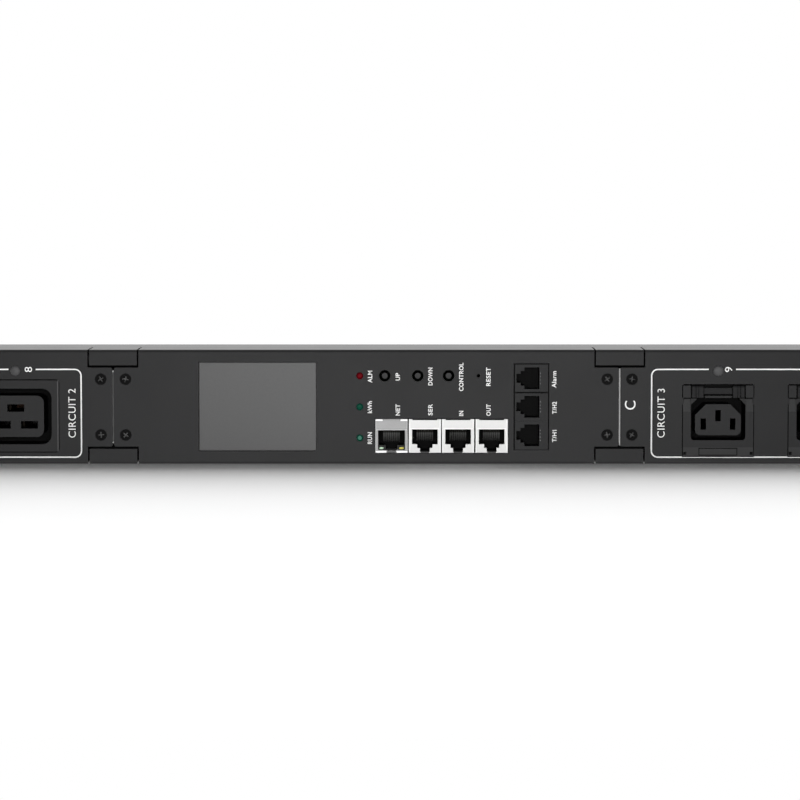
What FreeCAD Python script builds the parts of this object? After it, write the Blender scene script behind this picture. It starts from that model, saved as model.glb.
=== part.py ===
import FreeCAD, Part
import math
import os
from FreeCAD import Vector

# Rack power distribution unit, lying on its long edge with the outlets facing -Y.
# Lengths are millimetres. X runs along the unit, Y from the front face to the back, Z up.
# A depth is measured inward from the outer face of the covers.
# A rise is measured up from the middle of the front face.

# Housing: front covers and back channel folded from sheet steel
unit_height = 54.7
unit_depth = 52.0
sheet = 1.5
bend_radius = 1.5
inner_bend_radius = 0.3
flange_depth = 22.0
split_gap = 0.4
seam_gap = 0.7
tongue_corner_radius = 1.2

# Ears of the channel that fold over the front at each seam
ear_width = 22.7
ear_reach = 7.6
ear_gap = 0.75

# Bridge behind each seam that takes the cover screws, folded to a hat section
bridge_width = 22.0
bridge_thickness = 1.5
bridge_web_gap = 0.2
bridge_leg = 7.5

# Countersunk cover screws
screw_radius = 1.45
screw_head_radius = 2.65
screw_sink = 0.2
screw_length = 6.0
screw_seat_gap = 0.03
screw_thread_gap = 0.05
screw_hole_gap = 0.2
screw_seam_offset = 5.9
screw_end_offset = 6.0
screw_row_rise = 13.3

# Sides of the small and hidden rounds, and steps in the rounded corners of repeated pieces
screw_sides = 12
lamp_sides = 12
gland_sides = 24
outlet_corner_steps = 4
bridge_bend_steps = 2

# Outlet sections: three small outlets and one large outlet on one circuit
circuit_count = 3
circuit_count_before_controller = 2
small_outlets_per_circuit = 3
first_outlet_margin = 46.9
last_outlet_margin = 46.4
outlet_pitch = 50.3
outlet_depth = 27.0
outlet_wall_gap = 0.2
lip_overlap = 0.5

# Small outlet with three upright slots
small_width = 34.3
small_height = 34.3
small_top_gap = 0.5
small_rise = -6.2
small_lip = 0.5
small_lip_chamfer = 0.3
small_moat_width = 26.0
small_moat_height = 20.2
small_moat_lift = 0.5
small_moat_chamfer = 3.3
small_moat_corner = 1.6
small_moat_depth = 17.0
small_core_width = 21.8
small_core_height = 14.8
small_core_lift = 0.15
small_core_chamfer = 5.1
small_core_corner = 2.4
small_core_recess = 0.8
small_slot_width = 2.6
small_slot_height = 5.4
small_pin_pitch = 14.0
small_live_lift = -1.9
small_earth_lift = 2.1
pad_width = 17.8
pad_height = 3.0
pad_edge = 0.6
pad_proud = 0.25
vent_width = 0.9
vent_inset = 1.3
vent_depth = 1.2
scoop_height = 6.2
scoop_depth = 0.9
groove_height = 0.5
groove_depth = 0.8
snap_reach = 0.9
snap_length = 3.5
snap_width = 8.0
snap_gap = 0.05

# Locking latch along the top of each small outlet
latch_width = 25.6
latch_height = 5.8
latch_thickness = 3.2
latch_proud = 0.4
latch_cheek_width = 6.1
latch_corner = 1.2
latch_side_gap = 0.3
latch_lower_gap = 0.4
latch_top_gap = 0.15
latch_travel_room = 1.2
latch_bar_height = 2.8
latch_bar_drop = 1.2
latch_bar_thickness = 2.2
latch_bar_set_back = 0.3
latch_pin_radius = 0.8
latch_pin_length = 1.6
latch_pin_gap = 0.08
latch_rim = 1.0

# Large outlet with three flat slots
large_width = 41.5
large_height = 34.9
large_corner = 1.7
large_rise = -4.2
large_lip = 0.9
large_lip_chamfer = 0.45
large_moat_width = 34.4
large_moat_height = 26.6
large_moat_corner = 4.5
large_moat_depth = 19.0
large_core_width = 26.8
large_core_height = 19.7
large_core_corner = 3.3
large_core_lift = -0.2
large_core_recess = 0.9
large_slot_width = 8.1
large_slot_height = 3.6
large_pin_pitch = 13.0
large_live_lift = -4.25
large_earth_lift = 3.75

# Indicator lamp above each outlet
lamp_rise = 17.2
lamp_radius = 2.35
lamp_hole_gap = 0.1
lamp_proud = 1.0
lamp_dome = 0.8
lamp_collar_radius = 3.0
lamp_collar = 1.0
lamp_length = 7.0

# Controller section, places measured from its middle
controller_length = 241.1
window_place = -51.75
window_width = 56.4
window_height = 42.7
window_rise = 0.25
lens_gap = 0.12
lens_set_back = 0.15
display_side_border = 3.0
display_edge_border = 1.5
display_thickness = 3.5
status_place = -3.15
status_rises = (14.9, 0.1, -14.7)
status_radius = 1.65
status_hole_gap = 0.1
status_proud = 0.3
button_places = (8.75, 24.45, 39.15)
button_rise = 14.95
button_radius = 1.75
button_hole_radius = 2.8
button_set_back = 0.3
reset_place = 53.35
reset_hole_radius = 0.85
reset_set_back = 10.0
switch_size = 6.0
switch_height = 4.0
switch_top = 0.8
switch_bore_gap = 0.15
plunger_flange_radius = 2.3
plunger_flange = 0.7
plunger_rest_gap = 0.05
plunger_room = 1.0
plunger_flange_gap = 0.25

# Controller board and its fixings
board_start = -96.55
board_end = 98.45
board_height = 46.0
board_depth = 16.0
board_thickness = 1.6
post_inset = 6.0
post_rise = 17.0
post_radius = 2.75
post_hole_radius = 1.3
post_hole_depth = 8.0
board_screw_radius = 1.25
board_screw_head_radius = 2.3
board_screw_head = 1.6
board_screw_length = 6.0
board_hole_gap = 0.2

# Network jacks: one shielded, three in white shells
jack_places = (11.95, 27.85, 43.65, 59.65)
jack_width = 15.3
jack_height = 16.0
jack_rise = -13.75
jack_proud = 0.3
jack_wall = 0.9
jack_face = 1.1
jack_window_gap = 0.25
jack_top_step = 0.45
jack_top_step_width = 11.8
jack_opening_drop = 4.85
jack_opening_width = 12.2
jack_opening_height = 7.1
jack_step_width = 7.2
jack_step_height = 1.8
jack_notch_width = 4.75
jack_notch_height = 1.8
jack_opening_depth = 12.5
insert_gap = 0.05
shield_opening_drop = 5.25
shield_opening_width = 12.8
shield_face = 0.5
shield_rim = 1.3
jack_lamp_width = 3.3
jack_lamp_height = 1.9
jack_lamp_edge = 0.35
jack_lamp_depth = 4.0

# Gang of three small jacks turned on their side
gang_place = 78.55
gang_width = 16.4
gang_height = 40.9
gang_rise = 0.15
gang_pitch = 13.6
gang_proud = 0.1
gang_main_width = 7.1
gang_main_height = 10.4
gang_main_shift = 0.2
gang_step_width = 1.8
gang_step_height = 7.0
gang_notch_width = 2.0
gang_notch_height = 4.2
gang_opening_depth = 12.5
gang_groove = 0.3

# Conductors: contacts in the sockets, and bars along the back
contact_thickness = 0.8
contact_front = 9.0
contact_slack = 0.3
contact_leg = 3.0
bar_clearance = 4.0
bar_spacing = 3.5
bar_thickness = 1.5
bar_height = 6.0
line_bar_rise = -21.0
neutral_bar_rise = -3.0
earth_bar_rise = 9.0
support_length = 6.0
support_margin = 2.5
support_slot_gap = 0.1
terminal_gap = 2.0
terminal_length = 13.0

# End caps with a skirt that slips into the housing
cap_thickness = 3.0
cap_edge = 0.8
skirt_length = 12.0
skirt_gap = 0.2
skirt_end_wall = 4.0
skirt_side_wall = 2.0

# Cable gland in the feed end's cap
gland_thread_radius = 12.5
gland_thread_length = 9.0
gland_hole_gap = 0.2
gland_hex = 33.0
gland_hex_thickness = 5.0
gland_neck_radius = 13.8
gland_neck_length = 9.0
gland_bore_radius = 9.5
gland_seat_radius = 11.5
gland_nut_radius = 18.2
gland_nut_length = 16.0
gland_nut_start_gap = 0.6
gland_nut_thread_gap = 0.15
gland_nut_mouth_radius = 9.0
gland_nut_chamfer = 4.0
gland_seal_proud = 1.4
gland_seal_gap = 0.1
cable_radius = 7.0
locknut_hex = 32.0
locknut_thickness = 5.0

# Mounting buttons riveted to the back, for a rack's keyholes
button_spacing = 800.1
peg_head_radius = 5.0
peg_head = 2.5
peg_neck_radius = 3.1
peg_neck = 4.0
peg_rivet_radius = 2.0
peg_rivet_head_radius = 3.5
peg_rivet_head = 1.2
peg_hole_gap = 0.1

# Places that follow from the sizes above
circuit_length = first_outlet_margin + small_outlets_per_circuit * outlet_pitch + last_outlet_margin
circuit_numbers = range(1, circuit_count + 1)
housing_length = circuit_count * circuit_length + controller_length
gland_reach = gland_hex_thickness + gland_nut_start_gap + gland_nut_length
overall_length = gland_reach + cap_thickness + housing_length + cap_thickness
housing_start = -overall_length / 2 + gland_reach + cap_thickness
housing_end = housing_start + housing_length
controller_start = housing_start + circuit_count_before_controller * circuit_length
controller_middle = controller_start + controller_length / 2
circuit_starts = {}
for circuit in circuit_numbers:
    beyond_controller = controller_length if circuit > circuit_count_before_controller else 0
    circuit_starts[circuit] = housing_start + (circuit - 1) * circuit_length + beyond_controller
section_starts = sorted([*circuit_starts.values(), controller_start])
seams = tuple(start for start in section_starts if start > housing_start)
front_proud = max(lamp_proud, large_lip, small_lip + pad_proud, latch_proud)
peg_reach = peg_neck + peg_head
front_y = -(unit_depth + peg_reach - front_proud) / 2
middle_z = unit_height / 2
back_inside = unit_depth - sheet
first_bar_depth = outlet_depth + bar_clearance
line_bar_depths = {number: first_bar_depth + (number - 1) * bar_spacing for number in circuit_numbers}
neutral_bar_depth = line_bar_depths[circuit_count]
earth_bar_depth = first_bar_depth
terminal_start = housing_start + skirt_length + terminal_gap
terminal_end = terminal_start + terminal_length
far_support = housing_end - skirt_length - terminal_gap - support_length / 2
support_places = seams + (far_support,)
cap_face = housing_start - cap_thickness
gland_face = cap_face - gland_hex_thickness
neck_end = gland_face - gland_neck_length
seal_end = neck_end - gland_seal_proud
nut_start = gland_face - gland_nut_start_gap
nut_end = nut_start - gland_nut_length
latch_top = small_height / 2 - small_top_gap - latch_top_gap
latch_low = latch_top - latch_height
latch_axis_depth = -latch_proud + latch_thickness / 2
latch_axis_lift = latch_top - latch_thickness / 2
pocket_depth = -latch_proud + latch_thickness + latch_travel_room


def point(x, depth, rise):
    return Vector(x, front_y + depth, middle_z + rise)


def block(x_low, x_high, depth_low, depth_high, rise_low, rise_high):
    size = (x_high - x_low, depth_high - depth_low, rise_high - rise_low)
    return Part.makeBox(*size, point(x_low, depth_low, rise_low))


def rod(x, rise, radius, depth_low, depth_high):
    return Part.makeCylinder(radius, depth_high - depth_low, point(x, depth_low, rise), Vector(0, 1, 0))


def long_rod(depth, rise, radius, x_low, x_high):
    return Part.makeCylinder(radius, x_high - x_low, point(x_low, depth, rise), Vector(1, 0, 0))


def corner_edges(arc, steps):
    """A rounded corner as its arc, or as straight steps along it."""
    if steps == 0:
        return [arc]
    points = arc.discretize(Number=steps + 1)
    return [Part.makeLine(start, end) for start, end in zip(points, points[1:])]


def rounded_face(corners, steps=0):
    """A flat face through corners given as (place, radius), each corner rounded by its radius."""
    edges = []
    starts = []
    ends = []
    for index, (corner, radius) in enumerate(corners):
        before = (corners[index - 1][0] - corner).normalize()
        after = (corners[(index + 1) % len(corners)][0] - corner).normalize()
        half_angle = before.getAngle(after) / 2
        reach = radius / math.tan(half_angle)
        starts.append(corner + before * reach)
        ends.append(corner + after * reach)
        if radius > 0:
            middle = (before + after).normalize() * (radius / math.sin(half_angle) - radius)
            arc = Part.Arc(starts[-1], corner + middle, ends[-1]).toShape()
            edges += corner_edges(arc, steps)
    for index, end in enumerate(ends):
        start = starts[(index + 1) % len(starts)]
        if end.distanceToPoint(start) > 1e-6:
            edges.append(Part.makeLine(end, start))
    return Part.Face(Part.Wire(Part.__sortEdges__(edges)))


def plate(corners, depth_low, depth_high, steps=0):
    """Corners are (x, rise, radius); the outline is carried through the depth."""
    placed = [(point(x, depth_low, rise), radius) for x, rise, radius in corners]
    return rounded_face(placed, steps).extrude(Vector(0, depth_high - depth_low, 0))


def section(corners, x_low, x_high, steps=0):
    """Corners are (depth, rise, radius); the profile is carried along the unit."""
    placed = [(point(x_low, depth, rise), radius) for depth, rise, radius in corners]
    return rounded_face(placed, steps).extrude(Vector(x_high - x_low, 0, 0))


def oblong(x, rise, width, height, radius=0.0):
    left = x - width / 2
    right = x + width / 2
    low = rise - height / 2
    high = rise + height / 2
    return [(left, low, radius), (right, low, radius), (right, high, radius), (left, high, radius)]


def socket_outline(x, rise, width, height, chamfer, corner):
    """Upright-slot socket: the two upper corners cut off, the two lower ones rounded."""
    left = x - width / 2
    right = x + width / 2
    low = rise - height / 2
    high = rise + height / 2
    return [
        (left, low, corner),
        (right, low, corner),
        (right, high - chamfer, 0),
        (right - chamfer, high, 0),
        (left + chamfer, high, 0),
        (left, high - chamfer, 0),
    ]


def ring(radius, sides):
    """Corners of an even-sided polygon round the origin."""
    angles = [2 * math.pi * step / sides for step in range(sides)]
    return [(radius * math.cos(angle), radius * math.sin(angle)) for angle in angles]


def sided_bar(depth, rise, radius, sides, x_low, x_high):
    corners = [(depth + across, rise + up, 0) for across, up in ring(radius, sides)]
    return section(corners, x_low, x_high)


def hexagon(depth, rise, across_flats, x_low, x_high):
    return sided_bar(depth, rise, across_flats / math.sqrt(3), 6, x_low, x_high)


def sided_turn(x, rise, profile, sides):
    """A small turned form with flat sides: the profile is (depth, radius) from one end to the other."""
    rings = []
    for depth, radius in profile:
        rings.append([point(x + across, depth, rise + up) for across, up in ring(radius, sides)])
    outlines = [rings[0], rings[-1]]
    for near, far in zip(rings, rings[1:]):
        for step in range(sides):
            after = (step + 1) % sides
            outlines.append([near[step], near[after], far[after], far[step]])
    faces = [Part.Face(Part.makePolygon(outline + outline[:1])) for outline in outlines]
    solid = Part.makeSolid(Part.makeShell(faces)).removeSplitter()
    if solid.Volume < 0:
        solid.reverse()
    return solid


def edges_through(shape, x, rise):
    """Edges that run along the depth through one place of the front."""
    found = []
    for edge in shape.Edges:
        on_place = [
            abs(v.X - x) < 1e-4 and abs(v.Z - middle_z - rise) < 1e-4 for v in edge.Vertexes
        ]
        if len(on_place) == 2 and all(on_place):
            found.append(edge)
    return found


def front_edges(shape, depth):
    """Edges that lie in the plane of one depth."""
    level = front_y + depth
    return [edge for edge in shape.Edges if all(abs(v.Y - level) < 1e-6 for v in edge.Vertexes)]


def small_outlet_places(number):
    first = circuit_starts[number] + first_outlet_margin
    return [first + step * outlet_pitch for step in range(small_outlets_per_circuit)]


def large_outlet_place(number):
    return circuit_starts[number] + circuit_length - last_outlet_margin


def outlet_name(number, step):
    return "outlet_%02d" % ((number - 1) * (small_outlets_per_circuit + 1) + step + 1)


# Screws
def screw_places():
    """Every cover screw as (x, rise, depth of the face it sits in, inward sign)."""
    places = []
    for rise in (screw_row_rise, -screw_row_rise):
        for seam in seams:
            places.append((seam - screw_seam_offset, rise, 0, 1))
            places.append((seam + screw_seam_offset, rise, 0, 1))
        for end in (housing_start + screw_end_offset, housing_end - screw_end_offset):
            places.append((end, rise, 0, 1))
            places.append((end, rise, unit_depth, -1))
    return places


def screw_hole(x, rise, face, inward):
    """Countersunk clearance hole through one sheet."""
    mouth = screw_head_radius + screw_sink + screw_seat_gap
    shank = screw_radius + screw_hole_gap
    profile = [(-sheet, mouth + sheet), (mouth - shank, shank), (2 * sheet, shank)]
    return sided_turn(x, rise, [(face + inward * depth, radius) for depth, radius in profile], screw_sides)


def thread_hole(x, rise, face, inward, depth):
    radius = screw_radius + screw_thread_gap
    return sided_turn(x, rise, [(face, radius), (face + inward * depth, radius)], screw_sides)


def screw(x, rise, face, inward):
    head = screw_head_radius - screw_radius
    profile = [(screw_sink, screw_head_radius), (screw_sink + head, screw_radius),
               (screw_sink + screw_length, screw_radius)]
    return sided_turn(x, rise, [(face + inward * depth, radius) for depth, radius in profile], screw_sides)


def cover_screws():
    return Part.makeCompound([screw(*place) for place in screw_places()])


# Housing
def cover_profile():
    low = -unit_height / 2
    high = unit_height / 2
    return [
        (flange_depth, low, 0),
        (0, low, bend_radius),
        (0, high, bend_radius),
        (flange_depth, high, 0),
        (flange_depth, high - sheet, 0),
        (sheet, high - sheet, inner_bend_radius),
        (sheet, low + sheet, inner_bend_radius),
        (flange_depth, low + sheet, 0),
    ]


def is_seam(x):
    return min(abs(x - seam) for seam in seams) < seam_gap / 2


def cover_blank(start, end):
    """A folded cover: at a seam it ends in a tongue between the ears, at an end cap it is square."""
    x_low = start + (seam_gap / 2 if is_seam(start) else 0)
    x_high = end - (seam_gap / 2 if is_seam(end) else 0)
    blank = section(cover_profile(), x_low, x_high)
    cut_back = ear_width / 2 + ear_gap
    tongue_rise = unit_height / 2 - ear_reach - ear_gap
    corners = []
    for seam, inward, edge in ((start, 1, x_low), (end, -1, x_high)):
        if is_seam(seam):
            notch_sides = sorted((seam - inward * seam_gap, seam + inward * cut_back))
            for sign in (1, -1):
                rises = sorted((sign * tongue_rise, sign * unit_height))
                blank = blank.cut(block(*notch_sides, -sheet, flange_depth + sheet, *rises))
                corners.append((edge, sign * tongue_rise))
    for x, rise in corners:
        blank = blank.makeFillet(tongue_corner_radius, edges_through(blank, x, rise))
    for x, rise, face, inward in screw_places():
        if face == 0 and x_low < x < x_high:
            blank = blank.cut(screw_hole(x, rise, face, inward))
    return blank


def small_cutout(x):
    half = small_width / 2 - lip_overlap
    low = small_rise - small_height / 2 + lip_overlap
    high = small_rise + small_height / 2
    return block(x - half, x + half, -sheet, 2 * sheet, low, high)


def large_cutout(x):
    width = large_width - 2 * lip_overlap
    height = large_height - 2 * lip_overlap
    outline = oblong(x, large_rise, width, height, large_corner - lip_overlap)
    return plate(outline, -sheet, 2 * sheet, outlet_corner_steps)


def round_hole(x, rise, radius):
    """Small round hole through a cover's front."""
    return sided_turn(x, rise, [(-sheet, radius), (2 * sheet, radius)], lamp_sides)


def circuit_cover(number):
    start = circuit_starts[number]
    cover = cover_blank(start, start + circuit_length)
    for x in small_outlet_places(number):
        cover = cover.cut(small_cutout(x)).cut(round_hole(x, lamp_rise, lamp_radius + lamp_hole_gap))
    x = large_outlet_place(number)
    return cover.cut(large_cutout(x)).cut(round_hole(x, lamp_rise, lamp_radius + lamp_hole_gap))


def post_places():
    left = controller_middle + board_start + post_inset
    right = controller_middle + board_end - post_inset
    return [(x, rise) for x in (left, right) for rise in (post_rise, -post_rise)]


def controller_cover():
    cover = cover_blank(controller_start, controller_start + controller_length)
    window_x = controller_middle + window_place
    cover = cover.cut(plate(oblong(window_x, window_rise, window_width, window_height), -sheet, 2 * sheet))
    for rise in status_rises:
        cover = cover.cut(round_hole(controller_middle + status_place, rise, status_radius + status_hole_gap))
    for place in button_places:
        cover = cover.cut(round_hole(controller_middle + place, button_rise, button_hole_radius))
    cover = cover.cut(round_hole(controller_middle + reset_place, button_rise, reset_hole_radius))
    jacks_left = controller_middle + jack_places[0] - jack_width / 2 - jack_window_gap
    jacks_right = controller_middle + jack_places[-1] + jack_width / 2 + jack_window_gap
    jacks_half = jack_height / 2 + jack_window_gap
    jacks = block(jacks_left, jacks_right, -sheet, 2 * sheet, jack_rise - jacks_half, jack_rise + jacks_half)
    gang_window = (gang_width + 2 * jack_window_gap, gang_height + 2 * jack_window_gap)
    gang = plate(oblong(controller_middle + gang_place, gang_rise, *gang_window), -sheet, 2 * sheet)
    cover = cover.cut(jacks).cut(gang)
    for x, rise in post_places():
        post = [(sheet, post_radius), (board_depth, post_radius)]
        bore = [(board_depth - post_hole_depth, post_hole_radius), (board_depth, post_hole_radius)]
        cover = cover.fuse(sided_turn(x, rise, post, screw_sides)).cut(sided_turn(x, rise, bore, screw_sides))
    return cover


def back_channel():
    """Folded channel whose side walls stop at the covers, with ears that run on over the front."""
    low = -unit_height / 2
    high = unit_height / 2
    wall_start = flange_depth + split_gap
    channel = section([
        (wall_start, low, 0),
        (unit_depth, low, bend_radius),
        (unit_depth, high, bend_radius),
        (wall_start, high, 0),
        (wall_start, high - sheet, 0),
        (back_inside, high - sheet, inner_bend_radius),
        (back_inside, low + sheet, inner_bend_radius),
        (wall_start, low + sheet, 0),
    ], housing_start, housing_end)
    for seam in seams:
        for sign in (1, -1):
            ear = section([
                (wall_start, sign * high, 0),
                (0, sign * high, bend_radius),
                (0, sign * (high - ear_reach), 0),
                (sheet, sign * (high - ear_reach), 0),
                (sheet, sign * (high - sheet), inner_bend_radius),
                (wall_start, sign * (high - sheet), 0),
            ], seam - ear_width / 2, seam + ear_width / 2)
            channel = channel.fuse(ear)
    channel = channel.removeSplitter()
    for x, rise, face, inward in screw_places():
        if face == unit_depth:
            channel = channel.cut(screw_hole(x, rise, face, inward))
    for x in peg_places():
        hole = [(back_inside - sheet, peg_rivet_radius + peg_hole_gap),
                (unit_depth + sheet, peg_rivet_radius + peg_hole_gap)]
        channel = channel.cut(sided_turn(x, 0, hole, screw_sides))
    return channel


def bridge_profile():
    """Hat section: a web behind the tongues, legs that go in, and flanges welded to the ears' sides."""
    web = unit_height / 2 - ear_reach - ear_gap - bridge_web_gap
    wall = unit_height / 2 - sheet
    front = sheet
    back = sheet + bridge_leg
    upper = [
        (front + bridge_thickness, web - bridge_thickness, inner_bend_radius),
        (back, web - bridge_thickness, bend_radius),
        (back, wall, 0),
        (back - bridge_thickness, wall, 0),
        (back - bridge_thickness, web, inner_bend_radius),
        (front, web, bend_radius),
    ]
    return upper + [(depth, -rise, radius) for depth, rise, radius in reversed(upper)]


def seam_bridges():
    bridges = []
    for seam in seams:
        half = bridge_width / 2
        bridge = section(bridge_profile(), seam - half, seam + half, bridge_bend_steps)
        for x, rise, face, inward in screw_places():
            if face == 0 and abs(x - seam) < half:
                bridge = bridge.cut(thread_hole(x, rise, face, inward, screw_length + sheet))
        bridges.append(bridge)
    return Part.makeCompound(bridges)


# End caps and cable gland
def end_cap(face_x, side):
    """Moulded cap; side is the way from the cap into the housing along X."""
    half = unit_height / 2
    outline = [(0, -half, bend_radius), (unit_depth, -half, bend_radius),
               (unit_depth, half, bend_radius), (0, half, bend_radius)]
    outer_x = face_x - side * cap_thickness
    cap = section(outline, min(face_x, outer_x), max(face_x, outer_x))
    rim = [edge for edge in cap.Edges if all(abs(v.X - outer_x) < 1e-6 for v in edge.Vertexes)]
    cap = cap.makeChamfer(cap_edge, rim)
    front = sheet + skirt_gap
    back = back_inside - skirt_gap
    side_rise = half - sheet - skirt_gap
    inner_x = face_x + side * skirt_length
    low_x, high_x = sorted((face_x, inner_x))
    skirt = block(low_x, high_x, front, back, -side_rise, side_rise)
    hollow = block(low_x, high_x, front + skirt_end_wall, back - skirt_end_wall,
                   -side_rise + skirt_side_wall, side_rise - skirt_side_wall)
    cap = cap.fuse(skirt.cut(hollow))
    for x, rise, face, inward in screw_places():
        if low_x < x < high_x:
            cap = cap.cut(thread_hole(x, rise, face, inward, screw_length + skirt_end_wall))
    return cap


def feed_cap():
    cap = end_cap(housing_start, 1)
    hole = long_rod(unit_depth / 2, 0, gland_thread_radius + gland_hole_gap,
                    housing_start - 2 * cap_thickness, housing_start + cap_thickness)
    return cap.cut(hole)


def gland_body():
    """Hexagon between cap and nut, with the thread through the cap and the neck that holds the seal."""
    axis_depth = unit_depth / 2
    thread_end = cap_face + gland_thread_length
    body = hexagon(axis_depth, 0, gland_hex, gland_face, cap_face)
    rounds = ((gland_thread_radius, cap_face, thread_end), (gland_neck_radius, neck_end, gland_face))
    bores = ((gland_bore_radius, gland_face, thread_end), (gland_seat_radius, neck_end, gland_face))
    for radius, low, high in rounds:
        body = body.fuse(sided_bar(axis_depth, 0, radius, gland_sides, low, high))
    for radius, low, high in bores:
        body = body.cut(sided_bar(axis_depth, 0, radius, gland_sides, low, high))
    return body.removeSplitter()


def gland_seal():
    axis_depth = unit_depth / 2
    seal = long_rod(axis_depth, 0, gland_seat_radius - gland_seal_gap, seal_end, gland_face)
    return seal.cut(long_rod(axis_depth, 0, cable_radius, seal_end, gland_face))


def gland_nut():
    axis_depth = unit_depth / 2
    nut = long_rod(axis_depth, 0, gland_nut_radius, nut_end, nut_start)
    rim = [edge for edge in nut.Edges if all(abs(v.X - nut_end) < 1e-6 for v in edge.Vertexes)]
    nut = nut.makeChamfer(gland_nut_chamfer, rim)
    nut = nut.common(hexagon(axis_depth, 0, gland_hex, nut_end, nut_start))
    nut = nut.cut(long_rod(axis_depth, 0, gland_neck_radius + gland_nut_thread_gap, seal_end, nut_start))
    return nut.cut(long_rod(axis_depth, 0, gland_nut_mouth_radius, nut_end, nut_start))


def gland_locknut():
    axis_depth = unit_depth / 2
    nut = hexagon(axis_depth, 0, locknut_hex, housing_start, housing_start + locknut_thickness)
    bore = gland_thread_radius + screw_thread_gap
    return nut.cut(long_rod(axis_depth, 0, bore, housing_start, housing_start + locknut_thickness))


# Mounting buttons
def peg_places():
    middle = (housing_start + housing_end) / 2
    return [middle - button_spacing / 2, middle + button_spacing / 2]


def mounting_peg(x):
    peg = rod(x, 0, peg_neck_radius, unit_depth, unit_depth + peg_neck)
    peg = peg.fuse(rod(x, 0, peg_head_radius, unit_depth + peg_neck, unit_depth + peg_reach))
    rivet = [(back_inside - peg_rivet_head, peg_rivet_head_radius), (back_inside, peg_rivet_head_radius),
             (back_inside, peg_rivet_radius), (unit_depth, peg_rivet_radius)]
    return peg.fuse(sided_turn(x, 0, rivet, screw_sides))


# Small outlets and their latches
def snap_lug(x, side, half_width, rise):
    """Wedge that springs out behind the cover on one side of an outlet."""
    start = sheet + snap_gap
    edge = x + side * half_width
    root = edge - side * lip_overlap
    low = rise - snap_width / 2
    corners = [
        point(root, start, low),
        point(edge + side * snap_reach, start, low),
        point(edge, start + snap_length, low),
        point(root, start + snap_length, low),
    ]
    return Part.Face(Part.makePolygon(corners + corners[:1])).extrude(Vector(0, 0, snap_width))


def latch_pocket(x):
    """Room for the latch, open to the front and the top, with a low rim left above the socket."""
    half = latch_width / 2 + latch_side_gap
    bar_half = latch_width / 2 - latch_cheek_width - latch_side_gap
    top = small_rise + small_height / 2
    low = small_rise + latch_low - latch_lower_gap
    pocket = block(x - half, x + half, -small_lip - sheet, pocket_depth, low, top)
    moat_top = small_rise + small_moat_lift + small_moat_height / 2
    rim = block(x - bar_half, x + bar_half, -small_lip - sheet, pocket_depth, low, moat_top + latch_rim)
    return pocket.cut(rim)


def small_outlet(x):
    rise = small_rise
    low = rise - small_height / 2
    high = rise + small_height / 2 - small_top_gap
    half = small_width / 2
    lip_middle = (low + high) / 2
    lip = plate(oblong(x, lip_middle, small_width, high - low), -small_lip, 0)
    lip = lip.makeChamfer(small_lip_chamfer, front_edges(lip, -small_lip))
    inset = lip_overlap + outlet_wall_gap
    outlet = lip.fuse(block(x - half + inset, x + half - inset, 0, outlet_depth, low + inset, high))
    moat = plate(socket_outline(x, rise + small_moat_lift, small_moat_width, small_moat_height,
                                small_moat_chamfer, small_moat_corner),
                 -2 * small_lip, small_moat_depth, outlet_corner_steps)
    core = plate(socket_outline(x, rise + small_core_lift, small_core_width, small_core_height,
                                small_core_chamfer, small_core_corner),
                 small_core_recess - small_lip, small_moat_depth, outlet_corner_steps)
    outlet = outlet.cut(latch_pocket(x)).cut(moat).fuse(core)
    for shift, lift in ((-small_pin_pitch / 2, small_live_lift), (small_pin_pitch / 2, small_live_lift),
                        (0, small_earth_lift)):
        slot = oblong(x + shift, rise + lift, small_slot_width, small_slot_height)
        outlet = outlet.cut(plate(slot, -2 * small_lip, outlet_depth))
    pin = latch_pin_radius + latch_pin_gap
    reach = latch_width / 2 + latch_pin_length + latch_side_gap
    pin_rise = rise + latch_axis_lift
    outlet = outlet.cut(block(x - reach, x + reach, latch_axis_depth - pin, latch_axis_depth + pin,
                              pin_rise - pin, pin_rise + pin))
    inner_edge = small_moat_width / 2
    groove_top = rise + latch_low
    groove_low = groove_top - groove_height
    for side in (-1, 1):
        sides = sorted((x + side * (inner_edge + latch_side_gap), x + side * half))
        groove = block(*sides, -2 * small_lip, groove_depth - small_lip, groove_low, groove_top)
        scoop = section([(-2 * small_lip, groove_low, 0),
                         (scoop_depth - small_lip, groove_low, 0),
                         (-small_lip, groove_low - scoop_height, 0),
                         (-2 * small_lip, groove_low - scoop_height, 0)], *sides)
        vent = plate(oblong(x + side * (half - vent_inset), low + vent_inset, vent_width, vent_width),
                     -2 * small_lip, vent_depth - small_lip)
        outlet = outlet.cut(groove).cut(scoop).cut(vent)
        outlet = outlet.fuse(snap_lug(x, side, half - inset, rise))
    pad = oblong(x, low + pad_edge + pad_height / 2, pad_width, pad_height)
    outlet = outlet.fuse(plate(pad, -small_lip - pad_proud, 0))
    return outlet.removeSplitter()


def latch(x):
    """Two cheeks joined by a finger bar, on stub pins that turn in the outlet's frame."""
    rise = small_rise
    front = -latch_proud
    back = front + latch_thickness
    half = latch_width / 2
    inner = half - latch_cheek_width
    cheek = [(front, rise + latch_low, 0), (back, rise + latch_low, 0),
             (back, rise + latch_top, 0), (front, rise + latch_top, latch_corner)]
    bar_top = rise + latch_top - latch_bar_drop
    bar_front = front + latch_bar_set_back
    solid = block(x - inner, x + inner, bar_front, bar_front + latch_bar_thickness,
                  bar_top - latch_bar_height, bar_top)
    for side in (-1, 1):
        solid = solid.fuse(section(cheek, *sorted((x + side * inner, x + side * half))))
        pin = sorted((x + side * half, x + side * (half + latch_pin_length)))
        pin_rise = rise + latch_axis_lift
        solid = solid.fuse(sided_bar(latch_axis_depth, pin_rise, latch_pin_radius, screw_sides, *pin))
    return solid.removeSplitter()


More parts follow.
